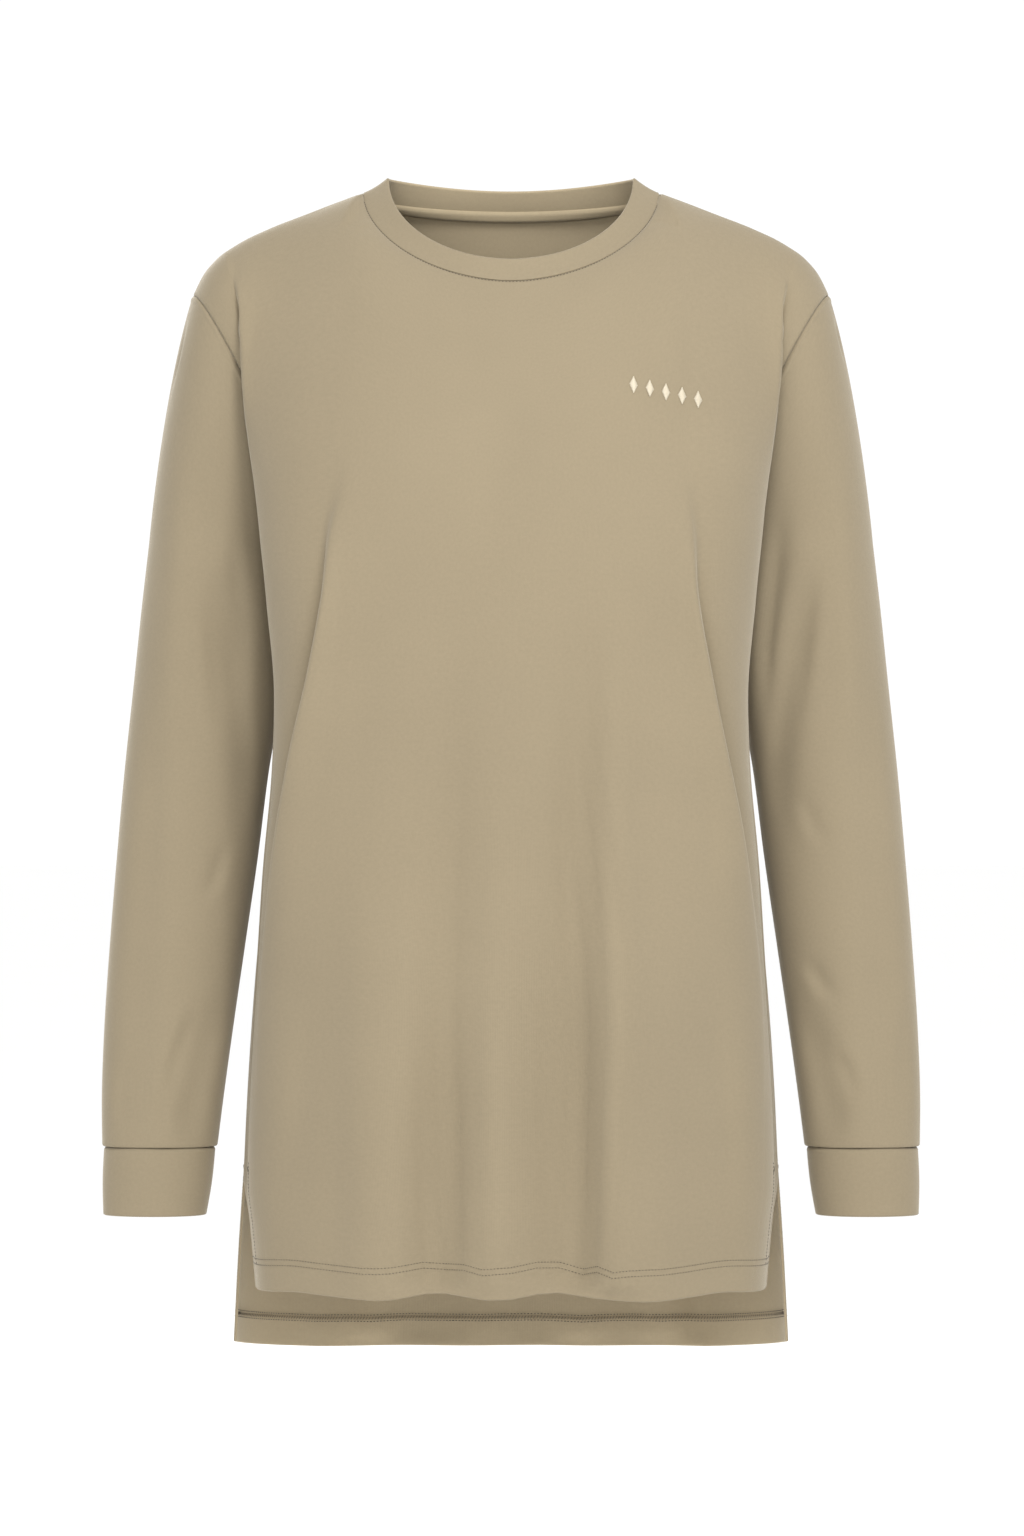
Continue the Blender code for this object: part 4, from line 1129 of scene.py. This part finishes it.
def stitch_tree():
    """A node tree that lays stitches of one size along the edges of a mesh. The mesh's
    point attribute facing says which way is out of the cloth."""
    tree = bpy.data.node_groups.new("rows_of_stitches", "GeometryNodeTree")
    face = tree.interface
    face.new_socket("Geometry", in_out="INPUT", socket_type="NodeSocketGeometry")
    for name, kind in STITCH_INPUTS.items():
        face.new_socket(name, in_out="INPUT", socket_type="NodeSocket" + kind)
    face.new_socket("Geometry", in_out="OUTPUT", socket_type="NodeSocketGeometry")
    given = node(tree, "NodeGroupInput")
    result = node(tree, "NodeGroupOutput")
    pitch = node(tree, "ShaderNodeMath")
    curve = node(tree, "GeometryNodeMeshToCurve")
    spaced = node(tree, "GeometryNodeResampleCurve", mode="LENGTH")
    tangent = node(tree, "GeometryNodeInputTangent")
    facing = node(tree, "GeometryNodeInputNamedAttribute", {"Name": "facing"},
                  data_type="FLOAT_VECTOR")
    along = node(tree, "FunctionNodeAlignRotationToVector", axis="X")
    upright = node(tree, "FunctionNodeAlignRotationToVector", axis="Z", pivot_axis="X")
    slant = node(tree, "FunctionNodeAxisAngleToRotation", {"Axis": (0.0, 0.0, 1.0)})
    turned = node(tree, "FunctionNodeRotateRotation", rotation_space="LOCAL")
    bead = node(tree, "GeometryNodeMeshUVSphere", {"Segments": 6, "Rings": 4, "Radius": 0.5})
    size = node(tree, "ShaderNodeCombineXYZ")
    shaped = node(tree, "GeometryNodeTransform")
    uneven = node(tree, "FunctionNodeRandomValue", {
        0: (0.88, 0.88, 0.88), 1: (1.10, 1.12, 1.12)}, data_type="FLOAT_VECTOR")
    laid = node(tree, "GeometryNodeInstanceOnPoints")
    real = node(tree, "GeometryNodeRealizeInstances")
    smooth = node(tree, "GeometryNodeSetShadeSmooth")
    dyed = node(tree, "GeometryNodeSetMaterial")
    link_nodes(
        tree,
        (given, "Geometry", curve, "Mesh"),
        (curve, "Curve", spaced, "Curve"),
        (given, "Stitch Length", pitch, 0),
        (given, "Stitch Gap", pitch, 1),
        (pitch, "Value", spaced, "Length"),
        (tangent, "Tangent", along, "Vector"),
        (along, "Rotation", upright, "Rotation"),
        (facing, "Attribute", upright, "Vector"),
        (given, "Slant", slant, "Angle"),
        (upright, "Rotation", turned, "Rotation"),
        (slant, "Rotation", turned, "Rotate By"),
        (given, "Stitch Length", size, "X"),
        (given, "Thread Width", size, "Y"),
        (given, "Thread Width", size, "Z"),
        (bead, "Mesh", shaped, "Geometry"),
        (size, "Vector", shaped, "Scale"),
        (given, "Seed", uneven, "Seed"),
        (spaced, "Curve", laid, "Points"),
        (shaped, "Geometry", laid, "Instance"),
        (turned, "Rotation", laid, "Rotation"),
        (uneven, 0, laid, "Scale"),
        (laid, "Instances", real, "Geometry"),
        (real, "Geometry", smooth, "Geometry"),
        (smooth, "Geometry", dyed, "Geometry"),
        (given, "Thread", dyed, "Material"),
        (dyed, "Geometry", result, "Geometry"))
    return tree


def sew(name, rows, stitch, seed, thread):
    """Lays rows of stitches, as a plain mesh. A row is its points and the directions out
    of the cloth there."""
    mesh = bpy.data.meshes.new(name + "_path")
    places, facings, edges = [], [], []
    for points, directions in rows:
        start = len(places)
        places += [tuple(point) for point in points]
        facings += [tuple(direction) for direction in directions]
        edges += [(k, k + 1) for k in range(start, len(places) - 1)]
    mesh.from_pydata(places, edges, [])
    facing = mesh.attributes.new("facing", "FLOAT_VECTOR", "POINT")
    facing.data.foreach_set("vector", np.array(facings).ravel())
    path = bpy.data.objects.new(name + "_path", mesh)
    bpy.context.scene.collection.objects.link(path)
    tree = bpy.data.node_groups.get("rows_of_stitches") or stitch_tree()
    maker = path.modifiers.new("stitches", "NODES")
    maker.node_group = tree
    values = dict(zip(STITCH_INPUTS, (*stitch, seed, thread)))
    for item in tree.interface.items_tree:
        if item.in_out == "INPUT" and item.name in values:
            maker[item.identifier] = values[item.name]
    bpy.context.view_layer.update()
    sewn = bpy.data.meshes.new_from_object(
        path.evaluated_get(bpy.context.evaluated_depsgraph_get()))
    bpy.data.objects.remove(path, do_unlink=True)
    if not sewn.polygons:
        raise RuntimeError(f"{name} came out empty")
    sewn.name = name
    for attribute in [a for a in sewn.attributes if a.name == "facing"]:
        sewn.attributes.remove(attribute)
    return place_piece(name, sewn)


def row_on(surface, path, lift):
    """Lays a path of fractional grid places (row, column) on a surface, lifted along its
    normal. Gives points and directions."""
    outer, _, wrap = surface
    places = np.array(path, dtype=float)
    height, width = outer.shape[:2]
    i = np.clip(places[:, 0], 0, height - 1 - 1e-6)
    j = places[:, 1] % width if wrap else np.clip(places[:, 1], 0, width - 1 - 1e-6)
    i0, j0 = i.astype(int), j.astype(int)
    fi, fj = (i - i0)[:, None], (j - j0)[:, None]
    j1 = (j0 + 1) % width
    mix = lambda grid: ((grid[i0, j0] * (1 - fj) + grid[i0, j1] * fj) * (1 - fi)
                        + (grid[i0 + 1, j0] * (1 - fj) + grid[i0 + 1, j1] * fj) * fi)
    points, directions = mix(outer), mix(grid_normals(*surface))
    directions /= np.linalg.norm(directions, axis=-1, keepdims=True)
    return points + directions * lift, directions


def level_row(surface, distance, columns, lift, from_hem=True):
    """Lays a row at one distance up from the hem of a surface, or down from its top."""
    lengths = run_lengths(surface.points, 0)
    path = []
    for j in columns:
        down = lengths[-1, j] - distance if from_hem else distance
        path.append((np.interp(down, lengths[:, j], np.arange(len(lengths))), j))
    return row_on(surface, path, lift)


def turned_in(row):
    """A row that faces into the garment."""
    points, directions = row
    return points, -directions


def beside_edge(lengths, distance, last):
    """Fractional column at a distance from the first or the last end of a row."""
    along = lengths[-1] - distance if last else distance
    return float(np.interp(along, lengths, np.arange(len(lengths))))


def finish(piece, nodes=()):
    """Ties a finished piece to the body and hides the solids that it stands for."""
    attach(piece, BODY)
    if nodes:
        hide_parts(*nodes)


def make_cloth(name, surface, thickness, roll=None):
    """Makes the visible cloth of a node from its surface."""
    look = bpy.context.scene.top_knit
    knit = knit_material("khaki_interlock", look, look.body_colour)
    piece = shell(name + "_cloth", surface, thickness, roll or {}, knit)
    _surfaces[name] = surface
    finish(piece, [name])


def size_of(name, description, default, low, high):
    """A setting in metres."""
    return bpy.props.FloatProperty(name=name, description=description, default=default,
                                   min=low, max=high, unit="LENGTH", precision=5)


def share_of(name, description, default, high=1.0):
    """A setting that is a share."""
    return bpy.props.FloatProperty(name=name, description=description, default=default,
                                   min=0.0, max=high, subtype="FACTOR")


def colour_of(name, description, default):
    """A colour setting."""
    return bpy.props.FloatVectorProperty(name=name, description=description, default=default,
                                         min=0.0, max=1.0, subtype="COLOR")


class TopCloth(bpy.types.PropertyGroup):
    """Sizes of the cloth."""

    thickness: size_of("Cloth", "Thickness of the knit", 0.0010, 0.0003, 0.003)
    doubled: size_of("Doubled Cloth", "Thickness where the knit is folded double", 0.0021,
                     0.0006, 0.005)
    seam_roll: size_of("Seam Roll", "How far the cloth turns in at a sewn edge", 0.0007, 0.0,
                       0.003)
    roll_reach: size_of("Roll Reach", "Width of the turn beside a sewn edge", 0.0026, 0.0005,
                        0.01)
    crease_depth: share_of("Crease Depth", "Strength of the creases laid into the cloth", 1.0,
                           2.0)


class TopKnit(bpy.types.PropertyGroup):
    """Finish of the knit and of the threads, with painted light on the knit's inner side and
    painted shade in the thread's dark colour.
    """

    body_colour: colour_of("Knit", "Colour of the body knit", (0.205, 0.167, 0.108))
    tape_colour: colour_of("Tape", "Colour of the neck tape", (0.250, 0.204, 0.132))
    # Dark thread colour: painted shade of the needle holes between stitches; the real thread is in
    # the knit's tone.
    thread_painted_shade_colour: colour_of("Thread", "Colour of the sewing thread", (0.060, 0.044, 0.022))
    mark_colour: colour_of("Mark", "Colour of the chest mark", (0.480, 0.425, 0.320))
    roughness: share_of("Roughness", "Roughness of the knit", 0.86)
    sheen: share_of("Sheen", "Felted sheen of the knit", 0.25)
    bump: share_of("Loop Relief", "Relief of the knit's loops", 0.25)
    mottle: share_of("Mottle", "How uneven the knit's colour is", 0.045, 0.5)
    # Painted light: how much paler the inner skin of the knit is painted, for light that reaches
    # the inside.
    reverse: bpy.props.FloatProperty(
        name="Reverse", description="How much paler the knit's inner side is", default=1.55,
        min=0.5, max=2.0)
    wale: size_of("Wale", "Width of one column of loops", 0.0008, 0.0003, 0.005)


class TopSewing(bpy.types.PropertyGroup):
    """Sizes of the stitches."""

    stitch: size_of("Stitch", "Length of a stitch", 0.0016, 0.0005, 0.01)
    gap: size_of("Gap", "Gap between stitches", 0.0008, 0.0001, 0.01)
    thread: size_of("Thread", "Width of the thread", 0.00058, 0.0001, 0.002)
    seed: bpy.props.IntProperty(
        name="Seed", description="Start of the stitches' unevenness", default=7, min=0)


class TopStage(bpy.types.PropertyGroup):
    """The plain studio."""

    floor_drop: size_of("Floor", "How far the floor lies below the shoulders", 1.02, 0.85, 3.0)
    sky: bpy.props.FloatProperty(
        name="Surroundings", description="Brightness of the pale surroundings", default=1.04,
        min=0.0, max=5.0)
    key: bpy.props.FloatProperty(
        name="Front Light", description="Power of the soft light in front", default=48.0,
        min=0.0, max=2000.0, unit="POWER")


def panel_thickness(outer, cloth, turning):
    """Thickness of a panel: doubled at the turned-up hem and along the slits."""
    down = run_lengths(outer, 0)
    across = run_lengths(outer, 1)
    from_side = np.minimum(across, across[:, -1:] - across)
    hem = 1 - ease((down[-1] - down - HEM_TURN_UP) / TURNING_STEP)
    slit = (1 - ease((from_side - turning) / TURNING_STEP)) * ease(
        (-outer[..., 2] - SLIT_DROP) / SLIT_TURNING_START)
    return cloth.thickness + (cloth.doubled - cloth.thickness) * np.maximum(hem, slit)


def make_panel(context, back):
    """Makes the front or the back."""
    cloth = context.scene.top_cloth
    name = "back" if back else "front"
    points, levels = panel_surface(back)
    points = dress_panel(points, levels, back, cloth.crease_depth)
    rolled = (cloth.seam_roll, cloth.roll_reach)
    make_cloth(name, Surface(points, 1.0 if back else -1.0, False),
               panel_thickness(points, cloth, SLIT_TURNINGS[name]),
               {"top": (*rolled, BACK_HEM_DROP), "first": (*rolled, SLIT_DROP),
                "last": (*rolled, SLIT_DROP)})


class TRAINING_TOP_OT_front(bpy.types.Operator):
    """Make the front"""

    bl_idname = "training_top.front"
    bl_label = "Front"

    def execute(self, context):
        make_panel(context, False)
        return {"FINISHED"}


class TRAINING_TOP_OT_back(bpy.types.Operator):
    """Make the back"""

    bl_idname = "training_top.back"
    bl_label = "Back"

    def execute(self, context):
        make_panel(context, True)
        return {"FINISHED"}


class TRAINING_TOP_OT_sleeves(bpy.types.Operator):
    """Make both sleeves"""

    bl_idname = "training_top.sleeves"
    bl_label = "Sleeves"

    def execute(self, context):
        cloth = context.scene.top_cloth
        for name, side in (("sleeve_left", 1.0), ("sleeve_right", -1.0)):
            points = np.concatenate((armhole_tuck(side), sleeve_surface(side, cloth.crease_depth)))
            make_cloth(name, Surface(points, side, True), cloth.thickness,
                       {"bottom": SLEEVE_END_ROLL})
        return {"FINISHED"}


class TRAINING_TOP_OT_cuffs(bpy.types.Operator):
    """Make both cuffs"""

    bl_idname = "training_top.cuffs"
    bl_label = "Cuffs"

    def execute(self, context):
        for name, side in (("left", 1.0), ("right", -1.0)):
            make_cloth("cuff_" + name, Surface(cuff_surface(side), side, True),
                       context.scene.top_cloth.doubled)
        return {"FINISHED"}


def make_tape(context):
    """The tape lies on the inner side of the back, just below the band's seam."""
    cloth = context.scene.top_cloth
    look = context.scene.top_knit
    back = _surfaces["back"]
    columns = np.linspace(CENTRE - TAPE_HALF_SPAN, CENTRE + TAPE_HALF_SPAN, TAPE_COLUMNS)
    lengths = run_lengths(back.points, 0).mean(axis=1)
    under = -(cloth.thickness + cloth.seam_roll * TAPE_ROLL_SHARE + TAPE_CLEARANCE)
    rows = []
    for distance in TAPE_TOP + TAPE_SHOWN * crowded(TAPE_CELLS, *TAPE_CROWDING):
        place = float(np.interp(distance, lengths, np.arange(len(lengths))))
        rows.append(row_on(back, [(place, j) for j in columns], under)[0])
    surface = Surface(np.array(rows), 1.0, False)
    weave = knit_material("khaki_tape_weave", look, look.tape_colour)
    piece = shell("neck_tape_cloth", surface, TAPE_THICKNESS, {}, weave)
    _surfaces["tape"] = surface
    finish(piece, ["back_neck_tape"])


class TRAINING_TOP_OT_neckband(bpy.types.Operator):
    """Make the neckband and the tape inside the back neck"""

    bl_idname = "training_top.neckband"
    bl_label = "Neckband and Tape"

    def execute(self, context):
        points = np.concatenate((neckband_surface(), neckline_tuck()))
        make_cloth("neckband", Surface(points, -1.0, True), context.scene.top_cloth.doubled)
        make_tape(context)
        return {"FINISHED"}


class TRAINING_TOP_OT_sewing(bpy.types.Operator):
    """Sew the neckline, hems, slits and tape"""

    bl_idname = "training_top.sewing"
    bl_label = "Sewing"

    def execute(self, context):
        look = context.scene.top_knit
        self.sizes = context.scene.top_sewing
        # The stitches carry the dark thread colour as painted shade of the needle holes, over real
        # thread.
        self.thread = thread_material("khaki_thread_painted_shade", look.thread_painted_shade_colour, THREAD_ROUGHNESS)
        self.neckline()
        self.hems(context.scene.top_cloth.doubled)
        self.slits()
        self.tape()
        return {"FINISHED"}

    def put(self, name, rows, seed, slot="body_knit", **changes):
        """Sews one group of rows and ties it to the body."""
        plain = Stitch(self.sizes.stitch, self.sizes.gap, self.sizes.thread, 0.0)
        finish(sew(name, rows, plain._replace(**changes), self.sizes.seed + seed, self.thread))

    def neckline(self):
        """One row all round on the body, right beside the band."""
        rows = []
        for name in ("front", "back"):
            top = np.abs(_surfaces[name].points[0, :, 0])
            columns = np.flatnonzero(top <= NECK_HALF_WIDTH - NECK_ROW_CLEARANCE)
            rows.append(level_row(_surfaces[name], NECK_STITCH, columns, 0.0, False))
        self.put("neckline_stitches", rows, 1)

    def hems(self, doubled):
        """Two rows along each hem, and their cover stitch inside the back."""
        columns = range(SEAM_CELLS, 2 * CENTRE + 1 - SEAM_CELLS)
        for name, seed in (("front", 3), ("back", 5)):
            self.put(name + "_hem_stitches", [
                level_row(_surfaces[name], distance, columns, ROW_LIFT)
                for distance in TWIN_ROWS], seed)
        back = _surfaces["back"]
        inside = [turned_in(level_row(back, distance, columns, -doubled - ROW_LIFT))
                  for distance in COVER_ROWS]
        self.put("back_hem_inside_stitches", inside, 7, width=COVER_THREAD)
        loops = level_row(back, sum(TWIN_ROWS) / 2, columns, -doubled)
        self.put("back_hem_cover_loops", [turned_in(loops)], 9, **COVER_LOOPS._asdict())

    def slits(self):
        """A row beside each slit edge and a short bar across the slit's top."""
        rows, bars = [], []
        for name, stitched in SLIT_STITCHES.items():
            surface = _surfaces[name]
            across = run_lengths(surface.points, 1)
            drops = -surface.points[:, 0, 2]
            levels = np.flatnonzero(drops >= SLIT_DROP - SLIT_ROW_START)[:-SLIT_ROWS_LEFT]
            top = levels[1]
            bar_end = max(stitched - BAR_LENGTH, BAR_FROM_EDGE)
            for last in (False, True):
                row = [(level, beside_edge(across[level], stitched, last)) for level in levels]
                rows.append(row_on(surface, row, ROW_LIFT))
                bar = [(top + BAR_SLOPE * (1 - share), beside_edge(
                    across[top], stitched + (bar_end - stitched) * share, last))
                    for share in np.linspace(0, 1, BAR_POINTS)]
                bars.append(row_on(surface, bar, 2 * ROW_LIFT))
        self.put("slit_stitches", rows, 11)
        self.put("slit_bar_tacks", bars, 13, **BAR_TACKS._asdict())

    def tape(self):
        """The rows that hold the tape inside the back neck."""
        rows = [turned_in(row_on(_surfaces["tape"], [
            (place, j) for j in range(1, TAPE_COLUMNS - 1)], -TAPE_ROW_DEPTH))
            for place in TAPE_ROWS]
        self.put("neck_tape_stitches", rows, 15, slot="neck_tape")


class TRAINING_TOP_OT_mark(bpy.types.Operator):
    """Embroider the plain chest mark"""

    bl_idname = "training_top.mark"
    bl_label = "Chest Mark"

    def execute(self, context):
        front = _surfaces["front"]
        normals = grid_normals(*front)
        flat = np.stack((front.points[..., 0], -front.points[..., 2]), axis=-1)
        rows = []
        for share in np.arange(MARK_COUNT) / (MARK_COUNT - 1):
            middle = [a + (b - a) * share for a, b in zip(MARK_START, MARK_END)]
            for line in np.linspace(-MARK_LINE_SPAN, MARK_LINE_SPAN, MARK_LINES):
                half = MARK_HALF_WIDTH * (1 - abs(line))
                ends = []
                for reach in (-half, half):
                    across, drop = middle[0] + reach, middle[1] + line * MARK_HALF_HEIGHT
                    drop += MARK_SLANT * reach
                    near = np.linalg.norm(flat - (across, drop), axis=-1)
                    i, j = np.unravel_index(near.argmin(), near.shape)
                    facing = normals[i, j]
                    point = np.array((across, 0.0, -drop))
                    point[1] = (front.points[i, j] - point) @ facing / facing[1]
                    ends.append((point + facing * MARK_LIFT, facing))
                rows.append((ends[0][0], ends[1][0], ends[0][1]))
        cream = thread_material("cream_thread", context.scene.top_knit.mark_colour,
                                MARK_ROUGHNESS)
        finish(satin("chest_mark", rows, cream))
        return {"FINISHED"}


def satin(name, rows, material):
    """Close parallel threads, each a slim bead from one point to another."""
    vertices, faces = [], []
    sides = range(BEAD_SIDES)
    for start, end, facing in rows:
        along = (end - start) / max(np.linalg.norm(end - start), 1e-9)
        beside = np.cross(along, facing)
        base = len(vertices)
        for share, swell in BEAD_RINGS:
            middle = start + (end - start) * share
            middle = middle + facing * BEAD_CROWN * math.sin(math.pi * share)
            for k in sides:
                turn = 2 * math.pi * k / BEAD_SIDES
                up, out = BEAD_HEIGHT * math.sin(turn), BEAD_WIDTH * math.cos(turn)
                vertices.append(middle + (facing * up + beside * out) * swell)
        for ring in range(len(BEAD_RINGS) - 1):
            low = base + ring * BEAD_SIDES
            for k in sides:
                a, b = low + k, low + (k + 1) % BEAD_SIDES
                faces.append((a, b, b + BEAD_SIDES, a + BEAD_SIDES))
        faces.append(tuple(base + k for k in reversed(sides)))
        faces.append(tuple(len(vertices) - BEAD_SIDES + k for k in sides))
    mesh = bpy.data.meshes.new(name)
    mesh.from_pydata([tuple(vertex) for vertex in vertices], [], faces)
    mesh.shade_smooth()
    return place_piece(name, mesh, material)


def make_floor(scene):
    """The floor, wide enough to reach the horizon."""
    level = -scene.top_stage.floor_drop
    mesh = bpy.data.meshes.new("floor")
    corners = [(x * FLOOR_REACH, y * FLOOR_REACH, level)
               for x, y in ((-1, -1), (1, -1), (1, 1), (-1, 1))]
    mesh.from_pydata(corners, [], [(0, 1, 2, 3)])
    mesh.materials.append(floor_material())
    floor = bpy.data.objects.new("floor", mesh)
    scene.collection.objects.link(floor)


def make_lights(scene):
    """The pale surroundings and three soft lights."""
    world = bpy.data.worlds.new("pale_surroundings")
    world.use_nodes = True
    fill(world.node_tree.nodes["Background"], {
        "Color": (1.0, 1.0, 1.0, 1.0), "Strength": scene.top_stage.sky})
    scene.world = world
    for light in LIGHTS:
        data = bpy.data.lights.new(light.name, "AREA")
        data.energy = scene.top_stage.key * light.share
        data.size = light.size
        lamp = bpy.data.objects.new(light.name, data)
        lamp.location = light.place
        lamp.visible_camera = False
        aim = Vector(LIGHT_AIM) - lamp.location
        lamp.rotation_euler = aim.to_track_quat("-Z", "Y").to_euler()
        scene.collection.objects.link(lamp)


def make_camera(scene):
    """The camera, level and straight in front."""
    view = bpy.data.cameras.new("photo_view")
    view.sensor_fit = "VERTICAL"
    view.angle = 2 * math.atan(VIEW_HALF_HEIGHT / CAMERA_DISTANCE)
    view.clip_end = 200.0
    camera = bpy.data.objects.new("photo_view", view)
    camera.location = CAMERA_PLACE
    camera.rotation_euler = (math.pi / 2, 0.0, 0.0)
    scene.collection.objects.link(camera)
    scene.camera = camera
    scene.view_settings.view_transform = "Standard"


class TRAINING_TOP_OT_stage(bpy.types.Operator):
    """Make the plain studio: floor, lights, surroundings and camera"""

    bl_idname = "training_top.stage"
    bl_label = "Studio"

    def execute(self, context):
        for make in (make_floor, make_lights, make_camera):
            make(context.scene)
        return {"FINISHED"}


OPERATORS = (
    TRAINING_TOP_OT_stage,
    TRAINING_TOP_OT_front,
    TRAINING_TOP_OT_back,
    TRAINING_TOP_OT_sleeves,
    TRAINING_TOP_OT_cuffs,
    TRAINING_TOP_OT_neckband,
    TRAINING_TOP_OT_sewing,
    TRAINING_TOP_OT_mark,
)


class TRAINING_TOP_PT_panel(bpy.types.Panel):
    """Lists the pieces of the training top"""

    bl_idname = "TRAINING_TOP_PT_panel"
    bl_label = "Training Top"
    bl_space_type = "VIEW_3D"
    bl_region_type = "UI"
    bl_category = "Training Top"

    def draw(self, context):
        for name in GROUPS:
            group = getattr(context.scene, name)
            box = self.layout.box()
            for field in group.bl_rna.properties:
                if not field.is_readonly and field.identifier != "name":
                    box.prop(group, field.identifier)
        for operator in OPERATORS:
            self.layout.operator(operator.bl_idname)


GROUPS = {"top_cloth": TopCloth, "top_knit": TopKnit, "top_sewing": TopSewing,
          "top_stage": TopStage}


def register():
    """Makes the pieces' settings and operators known to Blender."""
    for name, group in GROUPS.items():
        bpy.utils.register_class(group)
        setattr(bpy.types.Scene, name, bpy.props.PointerProperty(type=group))
    for kind in OPERATORS + (TRAINING_TOP_PT_panel,):
        bpy.utils.register_class(kind)


def unregister():
    """Takes them out again."""
    for kind in reversed(OPERATORS + (TRAINING_TOP_PT_panel,)):
        bpy.utils.unregister_class(kind)
    for name, group in GROUPS.items():
        delattr(bpy.types.Scene, name)
        bpy.utils.unregister_class(group)


def main():
    """Makes the whole top and its studio."""
    register()
    for operator in OPERATORS:
        group, name = operator.bl_idname.split(".")
        getattr(getattr(bpy.ops, group), name)()
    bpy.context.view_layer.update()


if __name__ == "__main__":
    main()
